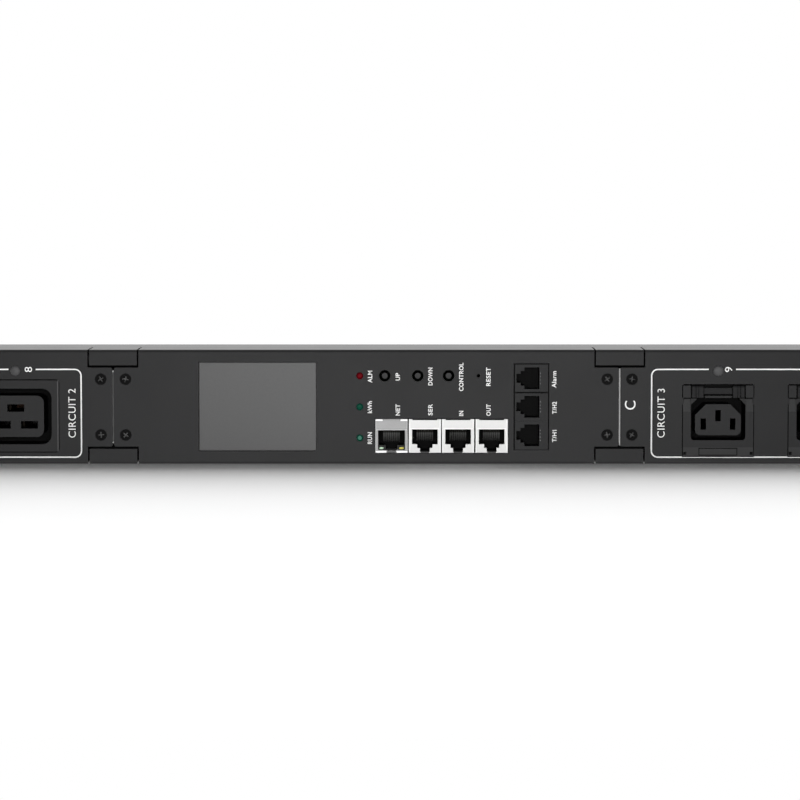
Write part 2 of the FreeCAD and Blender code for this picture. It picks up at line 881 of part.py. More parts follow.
# Large outlets
def large_outlet(x):
    rise = large_rise
    steps = outlet_corner_steps
    lip = plate(oblong(x, rise, large_width, large_height, large_corner), -large_lip, 0, steps)
    lip = lip.makeChamfer(large_lip_chamfer, front_edges(lip, -large_lip))
    inset = lip_overlap + outlet_wall_gap
    half = large_width / 2 - inset
    body_height = large_height - 2 * inset
    body = plate(oblong(x, rise, 2 * half, body_height, large_corner - lip_overlap), 0, outlet_depth, steps)
    middle = rise + large_core_lift
    moat = plate(oblong(x, middle, large_moat_width, large_moat_height, large_moat_corner),
                 -2 * large_lip, large_moat_depth, steps)
    core = plate(oblong(x, middle, large_core_width, large_core_height, large_core_corner),
                 large_core_recess - large_lip, large_moat_depth, steps)
    outlet = lip.fuse(body).cut(moat).fuse(core)
    for shift, lift in ((-large_pin_pitch / 2, large_live_lift), (large_pin_pitch / 2, large_live_lift),
                        (0, large_earth_lift)):
        slot = oblong(x + shift, rise + lift, large_slot_width, large_slot_height)
        outlet = outlet.cut(plate(slot, -2 * large_lip, outlet_depth))
    for side in (-1, 1):
        outlet = outlet.fuse(snap_lug(x, side, half, rise))
    return outlet.removeSplitter()


# Indicator lamps above the outlets
def indicator(x):
    """Lens with a bevelled end, and the collar that stops it behind the cover."""
    collar_back = sheet + lamp_collar
    profile = [(-lamp_proud, lamp_radius - lamp_dome), (lamp_dome - lamp_proud, lamp_radius),
               (sheet, lamp_radius), (sheet, lamp_collar_radius), (collar_back, lamp_collar_radius),
               (collar_back, lamp_radius), (lamp_length, lamp_radius)]
    return sided_turn(x, lamp_rise, profile, lamp_sides)


def indicators():
    lamps = []
    for number in circuit_numbers:
        for x in small_outlet_places(number) + [large_outlet_place(number)]:
            lamps.append(indicator(x))
    return Part.makeCompound(lamps)


# Conductors
def contact(left, rise, half_height, bar_depth, bar_low, bar_high):
    """Flat blade along a slot's left wall, with a leg that reaches over the face of its bar."""
    low = rise - half_height
    high = rise + half_height
    blade = block(left, left + contact_thickness, contact_front, bar_depth, low, high)
    leg = block(left, left + contact_thickness, bar_depth - contact_leg, bar_depth,
                min(low, bar_low), max(high, bar_high))
    return blade.fuse(leg).removeSplitter()


def outlet_contacts():
    contacts = []
    for number in circuit_numbers:
        kinds = [(x, small_rise, small_pin_pitch, small_live_lift, small_earth_lift,
                  small_slot_width, small_slot_height) for x in small_outlet_places(number)]
        kinds.append((large_outlet_place(number), large_rise, large_pin_pitch, large_live_lift,
                      large_earth_lift, large_slot_width, large_slot_height))
        for x, rise, pitch, live_lift, earth_lift, slot_width, slot_height in kinds:
            half_height = slot_height / 2 - contact_slack
            feeds = ((-pitch / 2, live_lift, line_bar_depths[number], line_bar_rise),
                     (pitch / 2, live_lift, neutral_bar_depth, neutral_bar_rise),
                     (0, earth_lift, earth_bar_depth, earth_bar_rise))
            for shift, lift, bar_depth, bar_rise in feeds:
                left = x + shift - slot_width / 2
                bar_edges = (bar_rise, bar_rise + bar_height)
                contacts.append(contact(left, rise + lift, half_height, bar_depth, *bar_edges))
    return Part.makeCompound(contacts)


def bar_rows():
    """The three line bars, the neutral bar and the earth bar as (end along X, depth, lower edge)."""
    beyond = support_length / 2
    rows = []
    for number in circuit_numbers:
        last_support = min(circuit_starts[number] + circuit_length, far_support)
        rows.append((last_support + beyond, line_bar_depths[number], line_bar_rise))
    rows.append((far_support + beyond, neutral_bar_depth, neutral_bar_rise))
    rows.append((far_support + beyond, earth_bar_depth, earth_bar_rise))
    return rows


def bus_bars():
    solids = []
    for end, depth, rise in bar_rows():
        solids.append(block(terminal_end, end, depth, depth + bar_thickness, rise, rise + bar_height))
    return Part.makeCompound(solids)


def bar_supports():
    """Insulating combs on the channel's back; each bar lies on the floor of its slot."""
    low = line_bar_rise - support_margin
    high = earth_bar_rise + bar_height + support_margin
    supports = []
    for place in support_places:
        half = support_length / 2
        comb = block(place - half, place + half, first_bar_depth - support_margin, back_inside, low, high)
        for end, depth, rise in bar_rows():
            slot_back = depth + bar_thickness + support_slot_gap
            slot_top = rise + bar_height + support_slot_gap
            slot = block(place - support_length, place + support_length, depth - support_slot_gap, slot_back,
                         rise, slot_top)
            comb = comb.cut(slot)
        supports.append(comb)
    return Part.makeCompound(supports)


def terminal_block():
    low = line_bar_rise - support_margin
    high = earth_bar_rise + bar_height + support_margin
    return block(terminal_start, terminal_end, first_bar_depth - support_margin, back_inside, low, high)


# Controller pieces
def display_lens():
    x = controller_middle + window_place
    return plate(oblong(x, window_rise, window_width - 2 * lens_gap, window_height - 2 * lens_gap),
                 lens_set_back, sheet)


def display_panel():
    x = controller_middle + window_place
    width = window_width + 2 * display_side_border
    height = window_height + 2 * display_edge_border
    return plate(oblong(x, window_rise, width, height), sheet, sheet + display_thickness)


def status_lamp(rise):
    profile = [(-status_proud, status_radius - status_proud), (0, status_radius),
               (board_depth, status_radius)]
    return sided_turn(controller_middle + status_place, rise, profile, lamp_sides)


def switch_body(place):
    """Small switch on the board, hollow for the flange of its plunger."""
    x = controller_middle + place
    half = switch_size / 2
    front = board_depth - switch_height
    body = block(x - half, x + half, front, board_depth, button_rise - half, button_rise + half)
    bore_radius = button_radius + switch_bore_gap
    chamber_radius = plunger_flange_radius + plunger_flange_gap
    chamber_front = front + switch_top
    chamber_back = chamber_front + plunger_rest_gap + plunger_flange + plunger_room
    hollow = [(front, bore_radius), (chamber_front, bore_radius),
              (chamber_front, chamber_radius), (chamber_back, chamber_radius)]
    return body.cut(sided_turn(x, button_rise, hollow, lamp_sides))


def plunger(place, set_back):
    """Round cap of a switch with the flange that keeps it in."""
    seat = board_depth - switch_height + switch_top + plunger_rest_gap
    profile = [(set_back, button_radius), (seat, button_radius), (seat, plunger_flange_radius),
               (seat + plunger_flange, plunger_flange_radius)]
    return sided_turn(controller_middle + place, button_rise, profile, lamp_sides)


def controller_board():
    back = board_depth + board_thickness
    board = block(controller_middle + board_start, controller_middle + board_end, board_depth, back,
                  -board_height / 2, board_height / 2)
    radius = board_screw_radius + board_hole_gap
    for x, rise in post_places():
        board = board.cut(sided_turn(x, rise, [(board_depth, radius), (back, radius)], screw_sides))
    return Part.makeCompound([board] + [switch_body(place) for place in button_places + (reset_place,)])


def board_screws():
    screws = []
    face = board_depth + board_thickness
    for x, rise in post_places():
        profile = [(face - board_screw_length, board_screw_radius), (face, board_screw_radius),
                   (face, board_screw_head_radius), (face + board_screw_head, board_screw_head_radius)]
        screws.append(sided_turn(x, rise, profile, screw_sides))
    return Part.makeCompound(screws)


def jack_opening(x, drop, width, face, depth):
    """Plug opening: the main window, then the two narrower steps for the plug's latch."""
    top = jack_rise + jack_height / 2 - drop
    steps = ((width, top - jack_opening_height, top),
             (jack_step_width, top - jack_opening_height - jack_step_height, top),
             (jack_notch_width, top - jack_opening_height - jack_step_height - jack_notch_height, top))
    opening = block(x - width / 2, x + width / 2, face, depth, steps[0][1], steps[0][2])
    for step_width, low, high in steps[1:]:
        opening = opening.fuse(block(x - step_width / 2, x + step_width / 2, face, depth, low, high))
    return opening


def jack_shell(x, face):
    """Box round the jack's insert, open at the board, with a notched upper edge at the front."""
    low = jack_rise - jack_height / 2
    high = jack_rise + jack_height / 2
    half = jack_width / 2
    shell = block(x - half, x + half, -jack_proud, board_depth, low, high)
    shell = shell.cut(block(x - half + jack_wall, x + half - jack_wall, face - jack_proud, board_depth,
                            low + jack_wall, high - jack_wall))
    step = jack_top_step_width / 2
    return shell.cut(block(x - step, x + step, -2 * jack_proud, face, high - jack_top_step, high))


def white_jack(place):
    x = controller_middle + place
    shell = jack_shell(x, jack_face)
    return shell.cut(jack_opening(x, jack_opening_drop, jack_opening_width, -2 * jack_proud, jack_face))


def shielded_jack():
    x = controller_middle + jack_places[0]
    shell = jack_shell(x, shield_face)
    top = jack_rise + jack_height / 2 - shield_opening_drop
    low = jack_rise - jack_height / 2
    half = shield_opening_width / 2
    shell = shell.cut(block(x - half, x + half, -2 * jack_proud, shield_face, low + shield_rim, top))
    notch = jack_notch_width / 2
    return shell.cut(block(x - notch, x + notch, -2 * jack_proud, shield_face, low + jack_wall, top))


def jack_insert(place, face, drop):
    """Black moulding inside a shell, from its front wall to the board."""
    x = controller_middle + place
    low = jack_rise - jack_height / 2 + jack_wall + insert_gap
    high = jack_rise + jack_height / 2 - jack_wall - insert_gap
    half = jack_width / 2 - jack_wall - insert_gap
    front = face - jack_proud
    insert = block(x - half, x + half, front, board_depth, low, high)
    return insert.cut(jack_opening(x, drop, jack_opening_width, front, front + jack_opening_depth))


def jack_lamp_places():
    x = controller_middle + jack_places[0]
    edge = shield_opening_width / 2 - jack_lamp_edge - jack_lamp_width / 2
    return [x - edge, x + edge]


def jack_lamp_span():
    low = jack_rise - jack_height / 2 + shield_rim + jack_lamp_edge
    return low, low + jack_lamp_height


def jack_lamp(x):
    front = shield_face - jack_proud
    half = jack_lamp_width / 2
    return block(x - half, x + half, front, front + jack_lamp_depth, *jack_lamp_span())


def shielded_insert():
    insert = jack_insert(jack_places[0], shield_face, shield_opening_drop)
    for x in jack_lamp_places():
        insert = insert.cut(jack_lamp(x))
    return insert


def sensor_jacks():
    """Gang of three plug openings turned on their side, with a groove between neighbours."""
    x = controller_middle + gang_place
    half = gang_width / 2
    gang = block(x - half, x + half, -gang_proud, board_depth, gang_rise - gang_height / 2,
                 gang_rise + gang_height / 2)
    for step in (-1, 0, 1):
        rise = gang_rise + step * gang_pitch
        right = x + gang_main_shift + gang_main_width / 2
        main_left = right - gang_main_width
        step_left = main_left - gang_step_width
        notch_left = step_left - gang_notch_width
        for left, height in ((main_left, gang_main_height), (step_left, gang_step_height),
                             (notch_left, gang_notch_height)):
            gang = gang.cut(block(left, right, -2 * gang_proud, gang_opening_depth - gang_proud,
                                  rise - height / 2, rise + height / 2))
    for side in (-1, 1):
        rise = gang_rise + side * gang_pitch / 2
        gang = gang.cut(block(x - half, x + half, -2 * gang_proud, gang_groove, rise - gang_groove / 2,
                              rise + gang_groove / 2))
    return gang


def nodes():
    """Every piece by its name, in the order in which the unit is put together."""
    pieces = {"back_channel": back_channel(), "seam_bridges": seam_bridges()}
    for number in circuit_numbers:
        pieces["circuit_cover_%d" % number] = circuit_cover(number)
        for step, x in enumerate(small_outlet_places(number)):
            pieces[outlet_name(number, step)] = small_outlet(x)
            pieces[outlet_name(number, step).replace("outlet", "latch")] = latch(x)
        large = outlet_name(number, small_outlets_per_circuit)
        pieces[large] = large_outlet(large_outlet_place(number))
    pieces["controller_cover"] = controller_cover()
    pieces["indicator_lamps"] = indicators()
    pieces["outlet_contacts"] = outlet_contacts()
    pieces["bus_bars"] = bus_bars()
    pieces["bar_supports"] = bar_supports()
    pieces["terminal_block"] = terminal_block()
    pieces["display_lens"] = display_lens()
    pieces["display_panel"] = display_panel()
    alarm_rise, energy_rise, run_rise = status_rises
    pieces["alarm_lamp"] = status_lamp(alarm_rise)
    pieces["green_lamps"] = Part.makeCompound([status_lamp(energy_rise), status_lamp(run_rise)])
    for name, place in zip(("up_button", "down_button", "control_button"), button_places):
        pieces[name] = plunger(place, button_set_back)
    pieces["reset_plunger"] = plunger(reset_place, reset_set_back)
    pieces["controller_board"] = controller_board()
    pieces["board_screws"] = board_screws()
    pieces["network_jack"] = shielded_jack()
    pieces["network_insert"] = shielded_insert()
    pieces["network_lamps"] = Part.makeCompound([jack_lamp(x) for x in jack_lamp_places()])
    for name, place in zip(("serial", "link_in", "link_out"), jack_places[1:]):
        pieces[name + "_jack"] = white_jack(place)
        pieces[name + "_insert"] = jack_insert(place, jack_face, jack_opening_drop)
    pieces["sensor_jacks"] = sensor_jacks()
    pieces["feed_end_cap"] = feed_cap()
    pieces["far_end_cap"] = end_cap(housing_end, -1)
    pieces["gland_body"] = gland_body()
    pieces["gland_seal"] = gland_seal()
    pieces["gland_nut"] = gland_nut()
    pieces["gland_locknut"] = gland_locknut()
    pieces["mounting_buttons"] = Part.makeCompound([mounting_peg(x) for x in peg_places()])
    pieces["cover_screws"] = cover_screws()
    return pieces


os.makedirs("parts", exist_ok=True)
for node_name, shape in nodes().items():
    shape.exportStep("parts/" + node_name + ".step")
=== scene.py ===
import math

import bpy
import numpy as np
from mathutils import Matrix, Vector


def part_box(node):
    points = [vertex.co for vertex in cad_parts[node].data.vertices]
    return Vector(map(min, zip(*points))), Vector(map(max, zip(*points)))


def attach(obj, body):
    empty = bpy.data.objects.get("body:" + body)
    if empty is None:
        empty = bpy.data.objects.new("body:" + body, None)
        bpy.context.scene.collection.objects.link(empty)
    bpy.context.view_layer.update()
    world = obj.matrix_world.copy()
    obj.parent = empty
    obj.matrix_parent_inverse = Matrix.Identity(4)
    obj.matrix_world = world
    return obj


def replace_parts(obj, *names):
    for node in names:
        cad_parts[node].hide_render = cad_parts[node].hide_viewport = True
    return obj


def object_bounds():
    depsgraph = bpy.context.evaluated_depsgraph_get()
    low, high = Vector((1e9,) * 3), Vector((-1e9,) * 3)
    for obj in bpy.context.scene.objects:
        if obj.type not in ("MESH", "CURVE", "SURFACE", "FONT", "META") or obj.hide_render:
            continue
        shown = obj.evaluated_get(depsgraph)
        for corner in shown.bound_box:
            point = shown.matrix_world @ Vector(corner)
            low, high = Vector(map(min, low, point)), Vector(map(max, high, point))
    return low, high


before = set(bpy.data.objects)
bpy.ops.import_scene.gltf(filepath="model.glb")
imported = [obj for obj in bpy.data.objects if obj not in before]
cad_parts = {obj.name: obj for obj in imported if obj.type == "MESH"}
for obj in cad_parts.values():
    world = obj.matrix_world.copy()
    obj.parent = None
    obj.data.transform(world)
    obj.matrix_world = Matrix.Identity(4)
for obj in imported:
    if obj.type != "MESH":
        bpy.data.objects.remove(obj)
cad_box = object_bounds()


# Sheet-steel housing: a folded back channel and four folded covers.
# Mild steel, bent on a press brake, then powder coated in a fine-grained dark grey.
# The covers drop between the channel's ears and are screwed to the bridges behind the seams.
MM = 0.001
noise_ends = (0.3, 0.7)
slow_grains = 60


def link(tree, source, target):
    tree.links.new(source, target)


def add_node(tree, kind, **inputs):
    """A node of the kind, with input sockets set by name or, for unnamed ones, by place (at_0, at_1)."""
    node = tree.nodes.new(kind)
    for socket, value in inputs.items():
        key = int(socket[3:]) if socket.startswith("at_") else socket.replace("_", " ")
        node.inputs[key].default_value = value
    return node


def reckon(tree, operation, first, second):
    """A sum, product or comparison of two values; each is a socket or a number."""
    node = tree.nodes.new("ShaderNodeMath")
    node.operation = operation
    for place, value in enumerate((first, second)):
        if isinstance(value, (int, float)):
            node.inputs[place].default_value = value
        else:
            link(tree, value, node.inputs[place])
    return node.outputs[0]


def tone_ramp(tree, share, dark, light):
    """A colour that goes from dark to light between the ends that a noise mostly keeps to."""
    ramp = tree.nodes.new("ShaderNodeValToRGB")
    for element, position, colour in zip(ramp.color_ramp.elements, noise_ends, (dark, light)):
        element.position = position
        element.color = (*colour, 1)
    link(tree, share, ramp.inputs["Fac"])
    return ramp.outputs["Color"]


def greys(dark, light):
    """A dark and a light neutral grey."""
    return (dark,) * 3, (light,) * 3


def grained_finish(name, dark, light, grain, rough, relief, metal=0.0, gloss=0.5, stretch=(1, 1, 1),
                   masks=()):
    """A finish on the piece's own coordinates: the mean of a noise of the grain's size and a slow one, many
    grains wide, drifts the colour from dark to light and the roughness between its two ends, and the fine
    noise lifts the surface by the relief. A stretch below 1 draws the grain out along that axis. Each mask
    (a function of the tree and the coordinates, then its own dark, light and gloss) finishes part of the
    piece otherwise, a later one over an earlier one."""
    material = bpy.data.materials.new(name)
    material.use_nodes = True
    tree = material.node_tree
    shader = tree.nodes["Principled BSDF"]
    place = tree.nodes.new("ShaderNodeTexCoord").outputs["Object"]
    drawn = add_node(tree, "ShaderNodeMapping", Scale=stretch)
    link(tree, place, drawn.inputs["Vector"])
    fine = add_node(tree, "ShaderNodeTexNoise", Scale=1 / grain, Detail=3)
    slow = add_node(tree, "ShaderNodeTexNoise", Scale=1 / (slow_grains * grain), Detail=2)
    for noise in (fine, slow):
        link(tree, drawn.outputs[0], noise.inputs["Vector"])
    both = reckon(tree, "ADD", fine.outputs["Fac"], slow.outputs["Fac"])
    share = reckon(tree, "DIVIDE", both, 2)
    colour = tone_ramp(tree, share, dark, light)
    shader.inputs["Specular IOR Level"].default_value = gloss
    for where, other_dark, other_light, other_gloss in masks:
        there = where(tree, place)
        mix = tree.nodes.new("ShaderNodeMix")
        mix.data_type = "RGBA"
        link(tree, there, mix.inputs["Factor"])
        link(tree, colour, mix.inputs["A"])
        link(tree, tone_ramp(tree, share, other_dark, other_light), mix.inputs["B"])
        colour = mix.outputs["Result"]
        if other_gloss != gloss:
            change = reckon(tree, "MULTIPLY", there, reckon(tree, "SUBTRACT", other_gloss, gloss))
            gloss = reckon(tree, "ADD", gloss, change)
            link(tree, gloss, shader.inputs["Specular IOR Level"])
    link(tree, colour, shader.inputs["Base Color"])
    sheen = add_node(tree, "ShaderNodeMapRange", To_Min=rough[0], To_Max=rough[1])
    link(tree, share, sheen.inputs["Value"])
    link(tree, sheen.outputs["Result"], shader.inputs["Roughness"])
    lift = add_node(tree, "ShaderNodeBump", Strength=1.0, Distance=relief)
    link(tree, fine.outputs["Fac"], lift.inputs["Height"])
    link(tree, lift.outputs["Normal"], shader.inputs["Normal"])
    shader.inputs["Metallic"].default_value = metal
    return material


def dress(material, *names):
    """Gives the frame's nodes of these names the material."""
    for name in names:
        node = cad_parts[name]
        node.data.materials.clear()
        node.data.materials.append(material)


def axes(tree, place):
    """The three coordinates of a place."""
    parts = tree.nodes.new("ShaderNodeSeparateXYZ")
    link(tree, place, parts.inputs[0])
    return parts.outputs["X"], parts.outputs["Y"], parts.outputs["Z"]


def apart(tree, value, centre):
    """How far a coordinate is from a centre."""
    return reckon(tree, "ABSOLUTE", reckon(tree, "SUBTRACT", value, centre), 0)


def within(tree, value, centre, half):
    """1 where a coordinate is nearer to the centre than the half width."""
    return reckon(tree, "LESS_THAN", apart(tree, value, centre), half)


def every(tree, first, *others):
    """1 where all the marks are 1."""
    for other in others:
        first = reckon(tree, "MULTIPLY", first, other)
    return first


def either(tree, first, *others):
    """1 where one of the marks is 1."""
    for other in others:
        first = reckon(tree, "MAXIMUM", first, other)
    return first


def ear_gap_shade(tree, place):
    """1 on the edges of ears and covers along the gaps below the upper and above the lower ears, where
    shade is painted black.
    """
    x, y, z = axes(tree, place)
    beside = either(tree, *[within(tree, x, seam, ear_half + edge_spread) for seam in seams])
    along = within(tree, apart(tree, z, middle_z), ear_rise, edge_half)
    return every(tree, beside, along, reckon(tree, "LESS_THAN", y, face_y + edge_depth))


def lower_fold(tree, place):
    """1 on the covers' lower fold, painted lighter as the light that the bright floor throws on it."""
    _, y, z = axes(tree, place)
    return every(tree, reckon(tree, "LESS_THAN", z, cover_low.z + fold_rise),
                 reckon(tree, "LESS_THAN", y, face_y + fold_rise))


circuit_numbers = (1, 2, 3)
covers = ["circuit_cover_%d" % number for number in circuit_numbers] + ["controller_cover"]
cover_low, cover_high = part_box("controller_cover")
face_y = cover_low.y
middle_z = (cover_low.z + cover_high.z) / 2
sheet = 1.5 * MM
seam_half_gap = 0.35 * MM
after_seams = ("circuit_cover_2", "controller_cover", "circuit_cover_3")
seams = [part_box(name)[0].x - seam_half_gap for name in after_seams]
ear_half = 11.35 * MM
ear_rise = 19.4 * MM
edge_spread = 0.6 * MM
edge_half = 0.58 * MM
edge_depth = 1.0 * MM
fold_rise = 1.7 * MM
# A near black that paints shade in wells, gaps, grooves and along shaded edges.
painted_shade_black = (*greys(0.0008, 0.0016), 0.04)
# Painted on the coat: light on the lower fold, from the bright floor, and shade along the ears' gaps.
powder_coat = grained_finish("powder_coat", (0.006, 0.006, 0.0065), (0.009, 0.009, 0.0095), 0.45 * MM,
                             (0.27, 0.35), 0.005 * MM, gloss=0.2,
                             masks=[(lower_fold, (0.013, 0.013, 0.0135), (0.018, 0.018, 0.0185), 0.2),
                                    (ear_gap_shade, *painted_shade_black)])
dress(powder_coat, "back_channel", *covers)


# Bridges behind the seams that take the cover screws.
# Zinc-plated strip folded to a hat section and welded to the ears' sides; it shows through each seam.
# It is painted near black, as shade inside the seams, except a line along the last seam and the ends
# of the others, which keep the zinc's colour.
def zinc_shown(tree, place):
    """1 in a narrow band along the last seam and near the ends of the others, and by a fifth along the
    others between those ends; the rest of the plate is painted near black, as shade in the seams."""
    x, _, z = axes(tree, place)
    rise = apart(tree, z, middle_z)
    whole = reckon(tree, "LESS_THAN", rise, zinc_band_reach)
    dimmed_zinc = reckon(tree, "MULTIPLY", reckon(tree, "LESS_THAN", rise, dimmed_reach), dimmed_share)
    parted = either(tree, within(tree, rise, zinc_end, zinc_end_half), dimmed_zinc)
    lines = [every(tree, within(tree, x, seam, zinc_band_half), shown)
             for seam, shown in zip(seams, (parted, parted, whole))]
    return either(tree, *lines)


zinc_band_half = 1.1 * MM
zinc_band_reach = 18.3 * MM
zinc_end = 17.0 * MM
zinc_end_half = 0.4 * MM
dimmed_reach = 17.4 * MM
dimmed_share = 0.2
zinc_plate = grained_finish("zinc_plate", *greys(0.001, 0.002), 0.8 * MM, (0.5, 0.62), 0.004 * MM,
                            gloss=0.05, masks=[(zinc_shown, (0.44, 0.44, 0.43), (0.6, 0.6, 0.6), 0.5)])
dress(zinc_plate, "seam_bridges")


# Conductors inside: rolled copper bars on insulating combs, and sprung brass contacts in the sockets.
# The contacts are stamped strip, pushed into the sockets from behind and riveted; the bars and contacts
# are painted near black, as the shade inside the closed housing.
rolled = (0.06, 1, 1)
stamped = (1, 0.1, 1)
bar_copper = grained_finish("bar_copper", (0.02, 0.012, 0.009), (0.035, 0.02, 0.014), 0.5 * MM, (0.4, 0.55),
                            0.003 * MM, metal=1.0, stretch=rolled)
contact_brass = grained_finish("contact_brass", (0.006, 0.005, 0.004), (0.012, 0.01, 0.008), 0.4 * MM,
                               (0.4, 0.55), 0.002 * MM, metal=1.0, stretch=stamped)
comb_plastic = grained_finish("comb_plastic", (0.42, 0.4, 0.34), (0.5, 0.48, 0.41), 0.5 * MM, (0.45, 0.6),
                              0.006 * MM)
dress(bar_copper, "bus_bars")
dress(contact_brass, "outlet_contacts")
dress(comb_plastic, "bar_supports", "terminal_block")


# Outlets: glass-filled nylon mouldings with a spark-eroded grain, snapped into the covers from the front.
# Three small ones with a locking latch and one large one to a circuit. Shade is painted near black in
# their wells, along edges and in grooves, light on the scoops and feet, and a highlight on the large lips.
def recessed(tree, place):
    """1 in what lies behind the front faces: wells, slots, pockets and pinholes."""
    return reckon(tree, "GREATER_THAN", axes(tree, place)[1], face_y + well_depth)


def small_outlet_shade(low, high, latch_foot):
    """A mask of painted shade for a small outlet in the box from low to high: its wells, the edges at its
    sides, the groove at the latch's foot, the line round the pad and the two vents."""
    middle = (low.x + high.x) / 2
    pad_middle = low.z + pad_edge + pad_half[1]

    def shade(tree, place):
        x, _, z = axes(tree, place)
        aside = apart(tree, x, middle)
        side = reckon(tree, "GREATER_THAN", aside, frame_half - side_edge)
        groove = every(tree, within(tree, z, latch_foot - groove_drop, groove_half),
                       reckon(tree, "GREATER_THAN", aside, frame_half - groove_reach))
        off_pad = reckon(tree, "MAXIMUM", reckon(tree, "SUBTRACT", aside, pad_half[0]),
                         reckon(tree, "SUBTRACT", apart(tree, z, pad_middle), pad_half[1]))
        pad_line = within(tree, off_pad, pad_line_out, pad_line_half)
        vent = every(tree, within(tree, aside, frame_half - vent_inset, vent_half),
                     within(tree, z, low.z + vent_inset, vent_half))
        return either(tree, recessed(tree, place), side, groove, pad_line, vent)
    return shade


def small_outlet_light(low, high, latch_foot):
    """A mask of painted light for a small outlet in the box from low to high: the scoops at its sides,
    below the latch's foot, and the strip along its foot, which are painted lighter, as lit."""
    middle = (low.x + high.x) / 2

    def shade(tree, place):
        x, _, z = axes(tree, place)
        scoop = every(tree, within(tree, apart(tree, x, middle), frame_half - scoop_inset, scoop_half[0]),
                      within(tree, z, latch_foot - scoop_drop, scoop_half[1]))
        return either(tree, scoop, reckon(tree, "LESS_THAN", z, low.z + foot_strip))
    return shade


def large_outlet_shade(low, high):
    """A mask of painted shade for a large outlet in the box from low to high: its wells and its outer
    edges.
    """
    middle_x, half_x = (low.x + high.x) / 2, (high.x - low.x) / 2
    middle_rise, half_z = (low.z + high.z) / 2, (high.z - low.z) / 2

    def shade(tree, place):
        x, _, z = axes(tree, place)
        side = reckon(tree, "GREATER_THAN", apart(tree, x, middle_x), half_x - large_edge[0])
        top = reckon(tree, "GREATER_THAN", apart(tree, z, middle_rise), half_z - large_edge[1])
        return either(tree, recessed(tree, place), side, top)
    return shade


def large_outlet_light(high):
    """A mask for a large outlet with this upper right corner: the lip at its right, with a painted
    highlight."""
    def shade(tree, place):
        return within(tree, axes(tree, place)[0], high.x - lip_inset, lip_half)
    return shade


def latch_shade(middle):
    """A mask of painted shade for the latch at a place: its ends, the steps beside its bar and two grooves
    in each cheek.
    """
    def shade(tree, place):
        aside = apart(tree, axes(tree, place)[0], middle)
        return either(tree, *[within(tree, aside, reach, half) for reach, half in latch_grooves])
    return shade


def centre_x(name):
    low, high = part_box(name)
    return (low.x + high.x) / 2


well_depth = 0.5 * MM
frame_half = 17.15 * MM
side_edge = 0.42 * MM
groove_drop = 0.3 * MM
groove_half = 0.36 * MM
groove_reach = 4.2 * MM
pad_edge = 0.6 * MM
pad_half = (8.9 * MM, 1.5 * MM)
pad_line_out = 0.12 * MM
pad_line_half = 0.2 * MM
vent_inset = 1.3 * MM
vent_half = 0.72 * MM
scoop_inset = 2.1 * MM
scoop_drop = 3.6 * MM
scoop_half = (1.7 * MM, 3.0 * MM)
foot_strip = 4.2 * MM
large_edge = (0.4 * MM, 0.45 * MM)
lip_inset = 0.75 * MM
lip_half = 0.32 * MM
latch_grooves = ((12.7 * MM, 0.3 * MM), (10.6 * MM, 0.22 * MM), (9.3 * MM, 0.16 * MM),
                 (6.85 * MM, 0.25 * MM))
# Lighter colours that paint light on the small outlets' scoops and feet, and a highlight on the large lips.
lit_plastic = ((0.018, 0.018, 0.0185), (0.024, 0.024, 0.0245), 0.18)
lit_lip = ((0.04, 0.04, 0.041), (0.055, 0.055, 0.056), 0.3)
outlets_per_circuit = 4
outlet_count = outlets_per_circuit * len(circuit_numbers)
outlet_names = ["outlet_%02d" % number for number in range(1, outlet_count + 1)]
for name in outlet_names:
    latch = name.replace("outlet", "latch")
    low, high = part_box(name)
    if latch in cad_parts:
        latch_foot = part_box(latch)[0].z
        shade = small_outlet_shade(low, high, latch_foot)
        light = (small_outlet_light(low, high, latch_foot), *lit_plastic)
        latch_plastic = grained_finish(latch + "_plastic", (0.0065, 0.0065, 0.0068), (0.0095, 0.0095, 0.01),
                                       0.25 * MM, (0.36, 0.46), 0.006 * MM, gloss=0.13,
                                       masks=[(latch_shade(centre_x(latch)), *painted_shade_black)])
        dress(latch_plastic, latch)
    else:
        shade = large_outlet_shade(low, high)
        light = (large_outlet_light(high), *lit_lip)
    outlet_plastic = grained_finish(name + "_plastic", (0.0078, 0.0078, 0.0082), (0.0115, 0.0115, 0.012),
                                    0.3 * MM, (0.36, 0.46), 0.008 * MM, gloss=0.18,
                                    masks=[light, (shade, *painted_shade_black)])
    dress(outlet_plastic, name)


# Indicator lamps: frosted lenses with a domed end, pushed through the covers above the outlets.
# Moulded clear plastic over a small lamp, grey while unlit.
sharp_angle = math.radians(40)
dome_start = 0.12


def put_mesh(name, shape, material, body="housing", smooth=False):
    """A piece from a shape (corners, arrays of faces), dressed, riding on a body and given its slot."""
    corners, face_arrays = shape
    mesh = bpy.data.meshes.new(name)
    mesh.from_pydata(corners.tolist(), [], sum((faces.tolist() for faces in face_arrays), []))
    mesh.update()
    if smooth:
        mesh.shade_smooth()
        mesh.set_sharp_from_angle(angle=sharp_angle)
    mesh.materials.append(material)
    piece = bpy.data.objects.new(name, mesh)
    bpy.context.scene.collection.objects.link(piece)
    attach(piece, body)
    return piece


def grid_faces(rows, columns):
    """Quads between neighbours of a grid whose last column joins its first. The faces point along
    (step to the next row) x (step to the next column)."""
    row, column = np.meshgrid(np.arange(rows - 1), np.arange(columns), indexing="ij")
    next_column = (column + 1) % columns
    quads = np.stack([row * columns + column, (row + 1) * columns + column,
                      (row + 1) * columns + next_column, row * columns + next_column], axis=-1)
    return quads.reshape(-1, 4)


def capped_faces(rows, columns):
    """Quads of a grid closed round its columns, with one flat face over its first and its last row."""
    first = np.arange(columns)[None]
    last = (rows - 1) * columns + first[:, ::-1]
    return [grid_faces(rows, columns), first, last]


